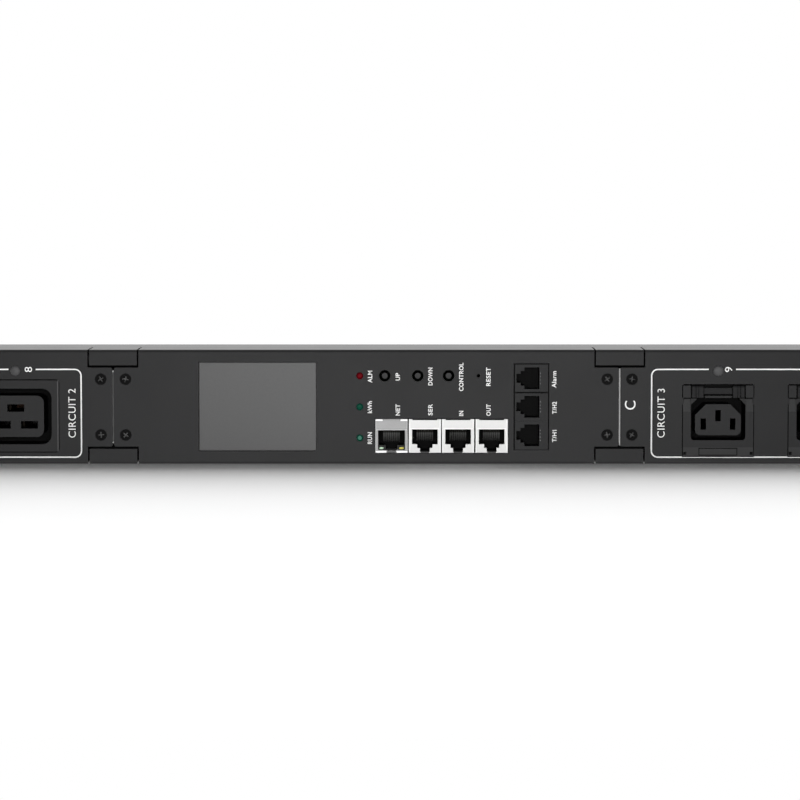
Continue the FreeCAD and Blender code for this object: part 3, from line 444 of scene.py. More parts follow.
def turned(profile, x, z, steps):
    """A solid turned about a line along Y through (x, z): each profile point (radius, y), from the front
    to the back, is carried round a circle, and the first and last circles are closed."""
    radius, y = np.array(profile).T
    angle = np.arange(steps) * 2 * math.pi / steps
    corners = np.empty((len(radius), steps, 3))
    corners[..., 0] = x + radius[:, None] * np.cos(angle)
    corners[..., 1] = y[:, None]
    corners[..., 2] = z + radius[:, None] * np.sin(angle)
    return corners.reshape(-1, 3), capped_faces(len(radius), steps)


def joined(shapes):
    """Several shapes as one, each one's faces counted on from the corners before it."""
    starts = np.cumsum([0] + [len(corners) for corners, _ in shapes])
    faces = [array + start for start, (_, arrays) in zip(starts, shapes) for array in arrays]
    return np.concatenate([corners for corners, _ in shapes]), faces


def dome(radius, front, height, steps=7):
    """Profile of a domed end: a quarter ellipse from near the axis at the front to the full radius."""
    turn = np.linspace(dome_start, math.pi / 2, steps)
    return list(zip(radius * np.sin(turn), front + height * (1 - np.cos(turn))))


lamp_low, lamp_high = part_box("indicator_lamps")
lamp_steps = 40
lamp_radius = 2.35 * MM
lamp_dome = 0.75 * MM
collar_radius = 3.0 * MM
collar_thickness = 1.0 * MM
collar_back = sheet + collar_thickness
lamp_z = (lamp_low.z + lamp_high.z) / 2
lamp_profile = dome(lamp_radius, lamp_low.y, lamp_dome)
lamp_profile += [(lamp_radius, face_y + sheet), (collar_radius, face_y + sheet),
                 (collar_radius, face_y + collar_back), (lamp_radius, face_y + collar_back),
                 (lamp_radius, lamp_high.y)]
frosted_lens = grained_finish("frosted_lens", (0.044, 0.044, 0.045), (0.064, 0.064, 0.065), 0.3 * MM,
                              (0.4, 0.52), 0.004 * MM, gloss=0.3)
lamps = [turned(lamp_profile, centre_x(name), lamp_z, lamp_steps) for name in outlet_names]
lamp_piece = put_mesh("indicator_lenses", joined(lamps), frosted_lens, smooth=True)
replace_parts(lamp_piece, "indicator_lamps")


# Screen print on the covers: an outline round each circuit's outlets, their numbers, the circuit's number
# and its phase letter. White ink, laid on the powder coat through a mesh and baked.
# Beside the lamps it stands a little to the left over small outlets and to the right over large ones.
ink_lift = 0.03 * MM
ink_sink = 0.01 * MM
letter_space = 1.08
word_space = 0.8
half_thickness = 0.5
white_ink = grained_finish("white_ink", (0.8, 0.8, 0.79), (0.88, 0.88, 0.87), 0.35 * MM, (0.42, 0.55),
                           0.003 * MM)


def carried(path, lift, profile):
    """A profile carried along a flat path and closed at both ends. The profile's points (across, out), in
    turn round it, are measured across the path in its plane and out along the lift."""
    path = np.array(path, float)
    along = np.gradient(path, axis=0)
    along /= np.linalg.norm(along, axis=1)[:, None]
    lift = np.array(lift, float)
    across = np.cross(along, lift)
    profile = np.array(profile, float)
    corners = path[:, None] + profile[None, :, :1] * across[:, None] + profile[None, :, 1:] * lift
    return corners.reshape(-1, 3), capped_faces(*corners.shape[:2])


def oblong(half_across, half_out):
    """Profile of a bar with a rectangular section."""
    return [(-half_across, -half_out), (half_across, -half_out),
            (half_across, half_out), (-half_across, half_out)]


def ink_line(path_xz, width):
    """A line of ink along a path on the face, sunk a little into the coat."""
    path = [(x, face_y, z) for x, z in path_xz]
    half = width / 2
    return carried(path, (0, -1, 0),
                   [(-half, -ink_sink), (half, -ink_sink), (half, ink_lift), (-half, ink_lift)])


def glyphs(words, weight):
    """A line of letters in the font's own units: the outlines, grown by the weight, filled and given a
    thickness of one unit."""
    line = bpy.data.curves.new("lettering", "FONT")
    line.body = words
    line.offset = weight
    line.space_character = letter_space
    line.space_word = word_space
    line.extrude = half_thickness
    holder = bpy.data.objects.new("lettering", line)
    flat = bpy.data.meshes.new_from_object(holder)
    spots = np.empty(len(flat.vertices) * 3)
    flat.vertices.foreach_get("co", spots)
    flat.calc_loop_triangles()
    triangles = np.empty(len(flat.loop_triangles) * 3, np.int64)
    flat.loop_triangles.foreach_get("vertices", triangles)
    bpy.data.objects.remove(holder)
    bpy.data.curves.remove(line)
    bpy.data.meshes.remove(flat)
    return spots.reshape(-1, 3), [triangles.reshape(-1, 3)]


def letters(words, cap_height, x, z, weight, breadth=1.0, length=None):
    """Lettering that reads upwards, its middle at (x, z): a line of glyphs, in which the font's bare figure
    one gets a flag, is scaled so that a capital has the stated height, the thickness is the ink's and the
    line has the stated length or, with none stated, its own length times the breadth."""
    shapes = [glyphs(words, weight)]
    for spot, letter in enumerate(words):
        if letter == "1":
            stem_edge = glyphs(words[:spot + 1], weight)[0][:, 0].max()
            flag = [(stem_edge + across, up, 0) for across, up in flag_path]
            shapes.append(carried(flag, (0, 0, 1), oblong(flag_half, half_thickness)))
    spots, faces = joined(shapes)
    low, high = spots.min(axis=0), spots.max(axis=0)
    share = (spots - low) / (high - low)
    length = length or breadth * cap_height * (high[0] - low[0]) / (high[1] - low[1])
    corners = np.empty_like(spots)
    corners[:, 0] = x + cap_height * (0.5 - share[:, 1])
    corners[:, 1] = face_y + ink_sink - (ink_sink + ink_lift) * share[:, 2]
    corners[:, 2] = z + length * (share[:, 0] - 0.5)
    return corners, faces


def corner_arc(x, z, start):
    """Quarter circle of the outline's corner, clockwise from the start angle."""
    turn = start - np.linspace(0, math.pi / 2, arc_points)
    return list(zip(x + outline_corner * np.cos(turn), z + outline_corner * np.sin(turn)))


flag_path = ((-0.06, 0.645), (-0.27, 0.485))
flag_half = 0.045
outline_line = 0.64 * MM
outline_corner = 3.0 * MM
arc_points = 9
outline_top = middle_z + 18.0 * MM
outline_low = middle_z - 23.9 * MM
outline_before = 31.7 * MM
outline_after = 31.2 * MM
lamp_gap = (-4.0 * MM, 9.0 * MM)
print_offsets = (-0.6 * MM, -0.6 * MM, -0.6 * MM, 0.65 * MM)
number_shift = 5.5 * MM
number_lift = 0.75 * MM
number_size = 3.5 * MM
number_breadth = 1.13
large_weight = 0.0
circuit_word_shift = {1: 26.8 * MM, 2: 26.8 * MM, 3: -27.15 * MM}
circuit_word_size = 3.5 * MM
circuit_word_length = 23.3 * MM
circuit_word_drop = 2.9 * MM
phase_shift = 4.7 * MM
phase_lift = 0.93 * MM
phase_size = 5.1 * MM
phase_breadth = 0.94
for number in circuit_numbers:
    first = outlets_per_circuit * (number - 1)
    places = [centre_x(name) for name in outlet_names[first:first + outlets_per_circuit]]
    spots = [place + offset for place, offset in zip(places, print_offsets)]
    inner_left = places[0] - outline_before + outline_corner
    inner_right = places[-1] + outline_after - outline_corner
    inner_top = outline_top - outline_corner
    inner_low = outline_low + outline_corner
    frame_ends = [place + side * frame_half for place in places[:-1] for side in (-1, 1)]
    right_bend = corner_arc(inner_right, inner_top, math.pi / 2) + corner_arc(inner_right, inner_low, 0)
    left_bend = corner_arc(inner_left, inner_low, -math.pi / 2) + corner_arc(inner_left, inner_top, math.pi)
    runs = [[(spots[-1] + lamp_gap[1], outline_top), *right_bend, (frame_ends[-1], outline_low)],
            [(frame_ends[0], outline_low), *left_bend, (spots[0] + lamp_gap[0], outline_top)]]
    runs += [[(before + lamp_gap[1], outline_top), (after + lamp_gap[0], outline_top)]
             for before, after in zip(spots, spots[1:])]
    runs += [[(start, outline_low), (end, outline_low)]
             for start, end in zip(frame_ends[1::2], frame_ends[2::2])]
    under_frame = outline_low - outline_line / 4
    covered = [[(start, under_frame), (end, under_frame)]
               for start, end in zip(frame_ends[::2], frame_ends[1::2])]
    print_shapes = [ink_line(run, outline_line) for run in runs]
    print_shapes += [ink_line(run, outline_line / 2) for run in covered]
    for step, spot in enumerate(spots):
        figure = str(first + step + 1)
        print_shapes.append(letters(figure, number_size, spot + number_shift, lamp_z + number_lift,
                                    large_weight, number_breadth))
    beside = places[0] if number == circuit_numbers[-1] else places[-1]
    word_place = beside + circuit_word_shift[number]
    print_shapes.append(letters("CIRCUIT %d" % number, circuit_word_size, word_place,
                                middle_z - circuit_word_drop, large_weight, length=circuit_word_length))
    phase_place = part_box("circuit_cover_%d" % number)[0].x + phase_shift
    print_shapes.append(letters("ABC"[number - 1], phase_size, phase_place, middle_z + phase_lift,
                                large_weight, phase_breadth))
    put_mesh("circuit_print_%d" % number, joined(print_shapes), white_ink)


# Display: a liquid-crystal panel behind an anti-glare window, unlit and evenly grey.
# The acrylic window has polished bevels and is glued into the cover's opening, the panel is clipped on.
def bevelled_plate(low, high, bevel):
    """A plate between two corners whose front edges are bevelled: rectangles of growing size from the
    front face over the bevel to the back, joined in turn."""
    inset = np.array([bevel, bevel_bend * bevel, 0, 0])
    y = np.array([low.y, low.y + bevel_bend * bevel, low.y + bevel, high.y])
    corners = np.empty((4, 4, 3))
    corners[..., 0] = np.stack([low.x + inset, high.x - inset, high.x - inset, low.x + inset], axis=1)
    corners[..., 1] = y[:, None]
    corners[..., 2] = np.stack([low.z + inset, low.z + inset, high.z - inset, high.z - inset], axis=1)
    return corners.reshape(-1, 3), capped_faces(4, 4)


window_bevel = 0.5 * MM
bevel_bend = 0.35
display_glass = grained_finish("display_glass", (0.057, 0.057, 0.058), (0.066, 0.066, 0.066), 1.2 * MM,
                               (0.3, 0.36), 0.001 * MM, gloss=0.3)
display_frame = grained_finish("display_frame", *greys(0.02, 0.03), 0.4 * MM, (0.4, 0.5), 0.004 * MM)
window = put_mesh("display_window", bevelled_plate(*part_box("display_lens"), window_bevel), display_glass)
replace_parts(window, "display_lens")
dress(display_frame, "display_panel")


# Status lamps: one red and two green tinted lenses, round-ended, pushed up through the cover from the board.
# The lowest green one is lit softly, so its lens is paler; the lenses' rims are painted darker as shade.
def lit_lens(tree, place):
    """1 on the lowest lamp, well below the middle of the face."""
    return reckon(tree, "LESS_THAN", axes(tree, place)[2], middle_z - lit_drop)


def lens_rim_shade(tree, place):
    """1 on the rims of the domed lenses, where shade is painted darker."""
    return reckon(tree, "GREATER_THAN", axes(tree, place)[1], alarm_low.y + rim_depth)


alarm_low, alarm_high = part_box("alarm_lamp")
green_low, green_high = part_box("green_lamps")
status_steps = 28
status_radius = 1.65 * MM
status_dome = 0.45 * MM
rim_depth = 0.085 * MM
lit_drop = 8.0 * MM
red_lens = grained_finish("red_lens", (0.118, 0.001, 0.004), (0.177, 0.002, 0.006), 0.6 * MM, (0.3, 0.4),
                          0.002 * MM, gloss=0.03,
                          masks=[(lens_rim_shade, (0.06, 0.001, 0.003), (0.09, 0.002, 0.005), 0.03)])
green_lens = grained_finish("green_lens", (0.001, 0.052, 0.028), (0.002, 0.075, 0.042), 0.6 * MM, (0.3, 0.4),
                            0.002 * MM, gloss=0.05,
                            masks=[(lit_lens, (0.033, 0.15, 0.104), (0.065, 0.21, 0.15), 0.1),
                                   (lens_rim_shade, (0.001, 0.036, 0.022), (0.002, 0.052, 0.032), 0.05)])
status_profile = dome(status_radius, alarm_low.y, status_dome) + [(status_radius, alarm_high.y)]
status_x = centre_x("alarm_lamp")
alarm_lens = turned(status_profile, status_x, (alarm_low.z + alarm_high.z) / 2, status_steps)
green_lenses = joined([turned(status_profile, status_x, z, status_steps)
                       for z in (green_low.z + status_radius, green_high.z - status_radius)])
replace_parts(put_mesh("alarm_lens", alarm_lens, red_lens, smooth=True), "alarm_lamp")
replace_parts(put_mesh("green_lenses", green_lenses, green_lens, smooth=True), "green_lamps")


# Buttons: moulded caps of the board's push switches, seen in clearance holes of the cover.
# Each has a rounded edge and a flange that keeps it in its switch; the reset plunger sits behind a pinhole.
def cap_edge_shade(tree, place):
    """1 on the caps' edges and sides just behind their grey front faces, where shade is painted black."""
    return reckon(tree, "GREATER_THAN", axes(tree, place)[1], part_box("up_button")[0].y + cap_face_depth)


cap_steps = 32
cap_radius = 1.75 * MM
cap_face_depth = 0.02 * MM
round_edge = 0.45 * MM
round_points = 5
rounding = np.linspace(0, math.pi / 2, round_points)
flange_radius = 2.3 * MM
flange_thickness = 0.7 * MM
button_plastic = grained_finish("button_plastic", (0.013, 0.013, 0.0135), (0.019, 0.019, 0.0195), 0.25 * MM,
                                (0.4, 0.52), 0.005 * MM, gloss=0.26,
                                masks=[(cap_edge_shade, *greys(0.0003, 0.0006), 0.005)])
for name in ("up_button", "down_button", "control_button"):
    low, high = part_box(name)
    seat = high.y - flange_thickness
    profile = list(zip(cap_radius - round_edge * (1 - np.sin(rounding)),
                       low.y + round_edge * (1 - np.cos(rounding))))
    profile += [(cap_radius, seat), (flange_radius, seat), (flange_radius, high.y)]
    cap = turned(profile, centre_x(name), (low.z + high.z) / 2, cap_steps)
    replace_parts(put_mesh(name + "_cap", cap, button_plastic, name, smooth=True), name)
dress(button_plastic, "reset_plunger")


# Controller board: glass-fibre laminate under black-green solder mask, on four posts with plated screws.
# Its switches stand behind the cover's button holes.
board_laminate = grained_finish("board_laminate", (0.0005, 0.0015, 0.0008), (0.001, 0.003, 0.0015), 0.9 * MM,
                                (0.4, 0.55), 0.004 * MM, gloss=0.015)
plated_screw = grained_finish("plated_screw", *greys(0.5, 0.64), 0.3 * MM, (0.25, 0.4), 0.002 * MM,
                              metal=1.0)
dress(board_laminate, "controller_board")
dress(plated_screw, "board_screws")


# Data jacks: one in a tin-plated shield with two small lamps, three in white shells.
# Each face has raised edges, painted lighter than the face as highlights, and each black insert holds
# eight spring wires under its upper wall, painted dark as shade and lighter low down, as lit.
def raised_edge(start, end, face, width, proud):
    """A low arched bead on a jack's face, carried from one place (x, z) straight to another."""
    half = width / 2
    arch = [(-half, -bead_sink), (half, -bead_sink), (half, proud / 2),
            (half / 2, proud), (-half / 2, proud), (-half, proud / 2)]
    return carried([(start[0], face, start[1]), (end[0], face, end[1])], (0, -1, 0), arch)


def oval_dome(x, y, z, half_width, half_height, height):
    """A shallow dome facing the front: rings from the edge in to the top, the height falling with the
    square of the distance from the middle; its flat back is closed."""
    share = np.array([1, 1, 0.85, 0.6, 0.3, 0.05])
    angle = np.arange(oval_steps) * 2 * math.pi / oval_steps
    corners = np.empty((len(share), oval_steps, 3))
    corners[..., 0] = x + half_width * share[:, None] * np.cos(angle)
    corners[..., 1] = (y - height * (1 - share ** 2))[:, None]
    corners[..., 2] = z + half_height * share[:, None] * np.sin(angle)
    corners[0, :, 1] += height
    return corners[::-1].reshape(-1, 3), capped_faces(len(share), oval_steps)


def lit_wire(tree, place):
    """1 on the wires' lower stretch, painted lighter as the light from the front falls on them; above it
    they are painted dark as shade.
    """
    return reckon(tree, "LESS_THAN", axes(tree, place)[2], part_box("serial_jack")[1].z - wire_shade)


def notch_rim(tree, place):
    """1 on the rim below the notch for the plug's catch, in the middle of each jack's foot, where shade is
    painted.
    """
    x, _, z = axes(tree, place)
    below = reckon(tree, "LESS_THAN", z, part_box("serial_jack")[0].z + rim_rise)
    middles = [within(tree, x, centre_x(name + "_jack"), rim_half) for name in jack_names]
    return every(tree, below, either(tree, *middles))


jack_names = ("network", "serial", "link_in", "link_out")
rim_rise = 0.8 * MM
rim_half = 2.1 * MM
bead_sink = 0.05 * MM
edge_proud = 0.15 * MM
shield_edge = 0.35 * MM
shell_edge = 0.7 * MM
tab_length = 3.4 * MM
tab_width = 0.85 * MM
tab_proud = 0.2 * MM
foot_length = 5.2 * MM
shield_roof = 5.25 * MM
shell_roof = 4.85 * MM
wire_count = 8
wire_pitch = 1.02 * MM
wire_half = 0.4 * MM
wire_start = 1.6 * MM
wire_run = 8.4 * MM
wire_gap = 0.15 * MM
wire_dip = 5.6 * MM
wire_swing = 1.9
wire_points = 9
wire_shade = 6.6 * MM
oval_steps = 24
glow_rise = 0.52 * MM
glow_inset = 1.3 * MM
glow_size = (1.1 * MM, 0.48 * MM, 0.12 * MM)
# Shade painted on the jacks: grey on the rim below the notch, black inside the white shells' openings.
shaded_rim = (*greys(0.06, 0.085), 0.1)
jack_shield = grained_finish("jack_shield", *greys(0.225, 0.32), 0.35 * MM, (0.5, 0.62), 0.004 * MM,
                             metal=1.0, masks=[(notch_rim, *shaded_rim)])
tab_highlight_tin = grained_finish("tab_highlight_tin", *greys(0.8, 0.9), 0.3 * MM, (0.4, 0.5), 0.001 * MM, metal=0.5)
edge_highlight_tin = grained_finish("edge_highlight_tin", *greys(0.42, 0.52), 0.3 * MM, (0.45, 0.55), 0.001 * MM, metal=0.6)
white_plastic = grained_finish("white_plastic", (0.76, 0.76, 0.75), (0.82, 0.82, 0.81), 0.4 * MM,
                               (0.34, 0.44), 0.003 * MM,
                               masks=[(notch_rim, *shaded_rim), (recessed, *painted_shade_black)])
rim_highlight_plastic = grained_finish("rim_highlight_plastic", (0.92, 0.92, 0.91), (0.96, 0.96, 0.95), 0.4 * MM, (0.3, 0.4),
                             0.002 * MM)
insert_plastic = grained_finish("insert_plastic", *greys(0.0012, 0.002), 0.3 * MM, (0.45, 0.58), 0.004 * MM,
                                gloss=0.04)
spring_wire = grained_finish("spring_wire", (0.02, 0.02, 0.018), (0.04, 0.038, 0.034), 0.2 * MM, (0.4, 0.55),
                             0.001 * MM, metal=0.8, gloss=0.2,
                             masks=[(lit_wire, (0.14, 0.14, 0.136), (0.21, 0.21, 0.206), 0.4)])
smoked_lens = grained_finish("smoked_lens", (0.012, 0.013, 0.012), (0.02, 0.021, 0.02), 0.4 * MM,
                             (0.25, 0.35), 0.002 * MM, gloss=0.12)
green_glow = grained_finish("green_glow", (0.5, 0.72, 0.5), (0.66, 0.86, 0.64), 0.4 * MM, (0.25, 0.35),
                            0.002 * MM)
yellow_glow = grained_finish("yellow_glow", (0.62, 0.55, 0.06), (0.78, 0.7, 0.14), 0.4 * MM, (0.25, 0.35),
                             0.002 * MM)
for name in jack_names:
    shell, insert = name + "_jack", name + "_insert"
    shielded = name == "network"
    dress(jack_shield if shielded else white_plastic, shell)
    dress(insert_plastic, insert)
    low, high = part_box(shell)
    roof = high.z - (shield_roof if shielded else shell_roof)
    width = shield_edge if shielded else shell_edge
    left, right = low.x + width / 2, high.x - width / 2
    beads = [((left, low.z), (left, high.z)), ((right, low.z), (right, high.z)),
             ((left, roof + width / 2), (right, roof + width / 2))]
    edges = [raised_edge(start, end, low.y, width, edge_proud) for start, end in beads]
    put_mesh(name + "_edges", joined(edges), edge_highlight_tin if shielded else rim_highlight_plastic)
    if shielded:
        upper, lower = high.z - tab_width / 2, low.z + tab_width / 2
        beads = [((low.x, upper), (low.x + tab_length, upper)),
                 ((high.x - tab_length, upper), (high.x, upper)),
                 ((low.x, lower), (low.x + foot_length, lower)),
                 ((high.x - foot_length, lower), (high.x, lower))]
        tabs = [raised_edge(start, end, low.y, tab_width, tab_proud) for start, end in beads]
        put_mesh(name + "_tabs", joined(tabs), tab_highlight_tin)
    slope = np.linspace(0, 1, wire_points)
    bend = np.stack([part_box(insert)[0].y + wire_start + wire_run * slope,
                     roof - wire_gap - wire_dip * np.sin(wire_swing * slope)], axis=1)
    wires = []
    for step in range(wire_count):
        x = centre_x(shell) + (step - (wire_count - 1) / 2) * wire_pitch
        wires.append(carried([(x, y, z) for y, z in bend], (1, 0, 0), oblong(wire_half, wire_half)))
    put_mesh(name + "_wires", joined(wires), spring_wire)
dress(smoked_lens, "network_lamps")
glow_low, glow_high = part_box("network_lamps")
for name, x, material in (("green_glow", glow_low.x + glow_inset, green_glow),
                          ("yellow_glow", glow_high.x - glow_inset, yellow_glow)):
    glow = oval_dome(x, glow_low.y, glow_low.z + glow_rise, *glow_size)
    put_mesh(name, glow, material, smooth=True)


# Sensor jacks: a gang of three six-way jacks in one dark moulding, turned on their side.
# The tips of their tinned wires show as a comb beside each opening's right edge.
def shaded_edges(tree, place):
    """1 where shade is painted black: in the openings, on the rounded left, right and upper edges, and
    along the upper groove.
    """
    x, _, z = axes(tree, place)
    return either(tree, recessed(tree, place), reckon(tree, "LESS_THAN", x, gang_low.x + left_edge),
                  reckon(tree, "GREATER_THAN", x, gang_high.x - right_edge),
                  reckon(tree, "GREATER_THAN", z, gang_high.z - upper_edge),
                  within(tree, z, gang_middle + gang_pitch / 2, gang_groove_half))


gang_low, gang_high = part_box("sensor_jacks")
gang_pitch = 13.6 * MM
gang_middle = (gang_low.z + gang_high.z) / 2
left_edge = 0.4 * MM
right_edge = 0.3 * MM
upper_edge = 0.3 * MM
gang_groove_half = 0.36 * MM
gang_plastic = grained_finish("gang_plastic", (0.007, 0.007, 0.0075), (0.0105, 0.0105, 0.011), 0.3 * MM,
                              (0.36, 0.46), 0.006 * MM, gloss=0.17, masks=[(shaded_edges, *painted_shade_black)])
dress(gang_plastic, "sensor_jacks")
comb_shift = 4.25 * MM
comb_edge = centre_x("sensor_jacks") + comb_shift
comb_pitch = 1.6 * MM
comb_count = 4
tip_half = (0.18 * MM, 0.17 * MM)
tip_depths = (-0.05 * MM, 0.3 * MM)
tips = []
for jack in (-1, 0, 1):
    for step in range(comb_count):
        z = gang_middle + jack * gang_pitch + (step - (comb_count - 1) / 2) * comb_pitch
        path = [(comb_edge, gang_low.y + depth, z) for depth in tip_depths]
        tips.append(carried(path, (0, 0, 1), oblong(*tip_half)))
comb_tin = grained_finish("comb_tin", *greys(0.15, 0.24), 0.15 * MM, (0.4, 0.55), 0.002 * MM, metal=0.7)
put_mesh("sensor_comb", joined(tips), comb_tin)


# End caps and cable gland: nylon mouldings; the gland's seal is a rubber bush squeezed by its nut.
# The caps slip into the housing's ends and are held by the end screws.
cap_plastic = grained_finish("cap_plastic", (0.0085, 0.0085, 0.009), (0.0125, 0.0125, 0.013), 0.35 * MM,
                             (0.42, 0.52), 0.01 * MM, gloss=0.25)
gland_plastic = grained_finish("gland_plastic", (0.009, 0.009, 0.0095), (0.013, 0.013, 0.0135), 0.3 * MM,
                               (0.34, 0.46), 0.005 * MM, gloss=0.35)
seal_rubber = grained_finish("seal_rubber", *greys(0.008, 0.013), 0.3 * MM, (0.6, 0.75), 0.008 * MM,
                             gloss=0.25)
dress(cap_plastic, "feed_end_cap", "far_end_cap")
dress(gland_plastic, "gland_body", "gland_nut", "gland_locknut")
dress(seal_rubber, "gland_seal")


# Mounting buttons: turned steel studs riveted through the back, for a rack's keyholes.
# Zinc plated, with a fine grain.
peg_steel = grained_finish("peg_steel", *greys(0.46, 0.6), 0.4 * MM, (0.3, 0.45), 0.003 * MM, metal=1.0)
dress(peg_steel, "mounting_buttons")


# Cover screws: countersunk, cross recessed, blackened steel.
# In pairs at every seam and end, driven into the bridges and the end caps; no two stop at the same angle.
def crossed_screw(x, z, face, inward, turn):
    """A countersunk screw: the flat head's depth is the product of two ramps, one falling away from the
    nearer arm of a cross turned by the angle, one ending the arm at its reach; cone and shank follow."""
    angle = np.arange(screw_steps) * 2 * math.pi / screw_steps
    head = np.linspace(head_start, head_radius, head_rings)
    across = head[:, None] * np.cos(angle - turn)
    upward = head[:, None] * np.sin(angle - turn)
    aside = np.minimum(abs(across), abs(upward))
    reach = np.maximum(abs(across), abs(upward))
    arm_wall = np.clip((recess_half - aside) / recess_wall, 0, 1)
    arm_end = np.clip((recess_reach - reach) / recess_wall, 0, 1)
    tail_radius = np.array([shank_radius, shank_radius])
    tail_depth = np.array([head_radius - shank_radius, screw_length])
    radius = np.concatenate([head, tail_radius])
    depth = np.concatenate([recess_depth * (arm_wall * arm_end),
                            np.repeat(tail_depth[:, None], screw_steps, axis=1)])
    corners = np.empty((len(radius), screw_steps, 3))
    corners[..., 0] = x + radius[:, None] * np.cos(angle)
    corners[..., 1] = face + inward * (screw_sink + depth)
    corners[..., 2] = z + radius[:, None] * np.sin(angle)
    faces = capped_faces(len(radius), screw_steps)
    if inward < 0:
        faces = [array[:, ::-1] for array in faces]
    return corners.reshape(-1, 3), faces


def recess_glints(tree, place):
    """1 where the surface lies deeper than the flat of a screw's head, on the front or the back; glints are
    painted there.
    """
    from_middle = apart(tree, axes(tree, place)[1], (face_y + housing_high.y) / 2)
    return reckon(tree, "LESS_THAN", from_middle, (housing_high.y - face_y) / 2 - screw_sink - glint_depth)


screw_steps = 64
screw_sink = 0.2 * MM
screw_length = 6.0 * MM
shank_radius = 1.45 * MM
head_radius = 2.65 * MM
head_start = 0.02 * MM
head_rings = 18
recess_half = 0.42 * MM
recess_reach = 1.6 * MM
recess_wall = 0.28 * MM
recess_depth = 0.9 * MM
glint_depth = 0.15 * MM
screw_turn = 2.4
screw_rise = 13.3 * MM
seam_offset = 5.9 * MM
end_offset = 6.0 * MM
housing_low, housing_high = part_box("back_channel")
screw_columns = [(seam + side * seam_offset, face_y, 1) for seam in seams for side in (-1, 1)]
for end in (housing_low.x + end_offset, housing_high.x - end_offset):
    screw_columns += [(end, face_y, 1), (end, housing_high.y, -1)]
screw_spots = [(x, middle_z + side * screw_rise, face, inward)
               for side in (-1, 1) for x, face, inward in screw_columns]
screws = [crossed_screw(*spot, screw_turn * index) for index, spot in enumerate(screw_spots)]
# Near-black heads, with glints painted lighter in their cross recesses.
black_screw = grained_finish("black_screw", *greys(0.0006, 0.0035), 0.3 * MM, (0.3, 0.4), 0.002 * MM,
                             gloss=0.04, masks=[(recess_glints, *greys(0.002, 0.125), 0.3)])
screw_piece = put_mesh("crossed_screws", joined(screws), black_screw)
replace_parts(screw_piece, "cover_screws")


# Print on the controller's cover: what each lamp, button and jack does, in plain words.
# The same white ink as round the outlets, laid through a mesh of its own.
# A label has its words, its place along the cover and above its middle, and its length, in millimetres.
controller_left = seams[1]
label_size = 2.1 * MM
label_weight = 0.022
labels = (
    ("ALM", 122.3, 14.5, 5.7), ("kWh", 122.2, 0.0, 5.7), ("RUN", 122.2, -14.8, 5.6),
    ("UP", 135.5, 14.5, 3.6), ("NET", 135.5, -1.3, 5.4),
    ("DOWN", 151.0, 14.6, 8.4), ("SER", 151.0, -1.2, 5.4),
    ("CONTROL", 165.7, 14.4, 13.4), ("IN", 165.7, -3.0, 2.4),
    ("RESET", 178.6, 14.5, 8.8), ("OUT", 178.7, -1.4, 5.5),
    ("Alarm", 209.9, 13.2, 7.9), ("T/H2", 210.1, -0.3, 5.8), ("T/H1", 210.1, -13.8, 5.8),
)
label_shapes = [letters(words, label_size, controller_left + along * MM, middle_z + rise * MM, label_weight,
                        length=length * MM) for words, along, rise, length in labels]
put_mesh("controller_print", joined(label_shapes), white_ink)


# Studio: a white floor that keeps the soft shadow, a band of light low behind, two soft lamps in front.
# The camera looks straight at the face from a little above it.
def ray_share(tree, seen=1):
    """1 for rays from a mirror or glass, the stated share for rays from the camera, and 0 for the rays
    that carry the light."""
    path = tree.nodes.new("ShaderNodeLightPath")
    mirrored = reckon(tree, "MAXIMUM", path.outputs["Is Glossy Ray"], path.outputs["Is Transmission Ray"])
    return reckon(tree, "MAXIMUM", mirrored, reckon(tree, "MULTIPLY", path.outputs["Is Camera Ray"], seen))


def vector_step(tree, operation, vector, **inputs):
    """One step of vector arithmetic on a socket."""
    node = add_node(tree, "ShaderNodeVectorMath", **inputs)
    node.operation = operation
    link(tree, vector, node.inputs[0])
    return node.outputs


def mixed(tree, share, first, second, output):
    """Sends a mix of two shaders, the second by the share, to the output."""
    mix = tree.nodes.new("ShaderNodeMixShader")
    link(tree, share, mix.inputs["Fac"])
    link(tree, first.outputs[0], mix.inputs[1])
    link(tree, second.outputs[0], mix.inputs[2])
    link(tree, mix.outputs[0], output.inputs["Surface"])


floor_half = 6.0
floor_gap = 0.05 * MM
floor_white = (0.94, 0.94, 0.94, 1)
shadow_reach = (0.32, 0.75)
floor_mesh = bpy.data.meshes.new("floor")
floor_corners = np.array([(-1, -1, 0), (1, -1, 0), (1, 1, 0), (-1, 1, 0)]) * floor_half
floor_mesh.from_pydata((floor_corners - (0, 0, floor_gap)).tolist(), [], [[0, 1, 2, 3]])
floor = bpy.data.objects.new("floor", floor_mesh)
bpy.context.scene.collection.objects.link(floor)
floor_paint = bpy.data.materials.new("floor_paint")
floor_paint.use_nodes = True
tree = floor_paint.node_tree
tree.nodes.clear()
place = tree.nodes.new("ShaderNodeTexCoord").outputs["Object"]
from_centre = vector_step(tree, "ABSOLUTE", place)[0]
past_edges = vector_step(tree, "SUBTRACT", from_centre, at_1=(cad_box[1][0], cad_box[1][1], 0))[0]
outside = vector_step(tree, "MAXIMUM", past_edges)[0]
fade = add_node(tree, "ShaderNodeMapRange", From_Min=shadow_reach[0], From_Max=shadow_reach[1])
fade.interpolation_type = "SMOOTHSTEP"
link(tree, vector_step(tree, "LENGTH", outside)["Value"], fade.inputs["Value"])
mixed(tree, ray_share(tree, fade.outputs["Result"]),
      add_node(tree, "ShaderNodeBsdfDiffuse", Color=floor_white),
      add_node(tree, "ShaderNodeEmission", Strength=1.0), tree.nodes.new("ShaderNodeOutputMaterial"))
floor_mesh.materials.append(floor_paint)

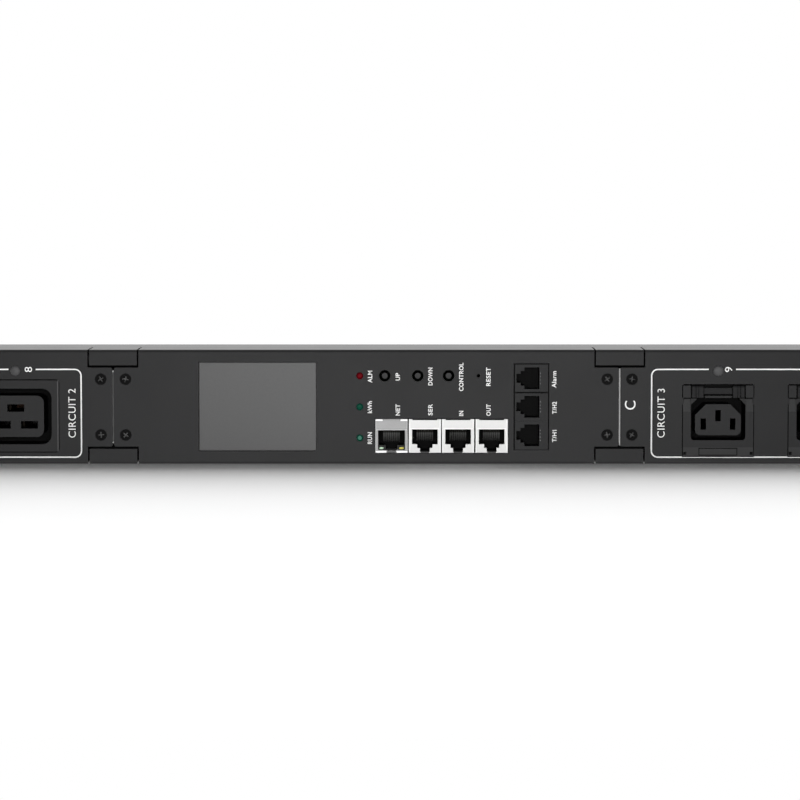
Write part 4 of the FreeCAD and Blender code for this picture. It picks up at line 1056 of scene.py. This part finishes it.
band_degrees = (0, 9, 11.8, 14.5, 18.2, 22.8, 31.2, 42, 52, 64, 76, 90, 180)
band_levels = (0.5, 2.1, 2.6, 4.5, 6.1, 5.3, 3.5, 2.45, 1.95, 1.6, 0.6, 0.1, 0.05)
band_most = max(band_levels)
world = bpy.data.worlds.new("studio")
bpy.context.scene.world = world
world.use_nodes = True
tree = world.node_tree
tree.nodes.clear()
_, back, up = axes(tree, tree.nodes.new("ShaderNodeTexCoord").outputs["Generated"])
band = tree.nodes.new("ShaderNodeValToRGB")
link(tree, reckon(tree, "DIVIDE", reckon(tree, "ARCTAN2", up, back), math.pi), band.inputs["Fac"])
while len(band.color_ramp.elements) < len(band_levels):
    band.color_ramp.elements.new(0.5)
for element, degrees, level in zip(band.color_ramp.elements, band_degrees, band_levels):
    element.position = degrees / 180
    element.color = (level / band_most, level / band_most, level / band_most, 1)
band_light = add_node(tree, "ShaderNodeBackground", Strength=band_most)
link(tree, band.outputs["Color"], band_light.inputs["Color"])
mixed(tree, ray_share(tree), band_light, add_node(tree, "ShaderNodeBackground", Color=(1, 1, 1, 1)),
      tree.nodes.new("ShaderNodeOutputWorld"))

view_x = 0.1489
lamp_distance = 1.2
lamp_lift = math.radians(3.0)
lamp_size = (0.35, 0.25)
for name, power, shines in (("wide_fill", 6.3, False), ("soft_box", 5.7, True)):
    light = bpy.data.lights.new(name, "AREA")
    light.shape = "RECTANGLE"
    light.size, light.size_y = lamp_size
    light.energy = power
    lamp = bpy.data.objects.new(name, light)
    lamp.location = (view_x, face_y - lamp_distance * math.cos(lamp_lift),
                     middle_z + lamp_distance * math.sin(lamp_lift))
    lamp.rotation_euler = (math.pi / 2 - lamp_lift, 0, 0)
    lamp.visible_camera = False
    lamp.visible_glossy = shines
    bpy.context.scene.collection.objects.link(lamp)

frame_width = 0.3808
view_rise = 3.4 * MM
view_distance = 1.5
view_lift = math.radians(3.9)
camera = bpy.data.cameras.new("camera")
camera.sensor_width = 36
camera.lens = camera.sensor_width * view_distance / frame_width
camera.clip_start = 0.01
viewer = bpy.data.objects.new("camera", camera)
viewer.location = (view_x, face_y - view_distance * math.cos(view_lift),
                   middle_z + view_rise + view_distance * math.sin(view_lift))
viewer.rotation_euler = (math.pi / 2 - view_lift, 0, 0)
bpy.context.scene.collection.objects.link(viewer)
bpy.context.scene.camera = viewer
bpy.context.scene.view_settings.view_transform = "Standard"
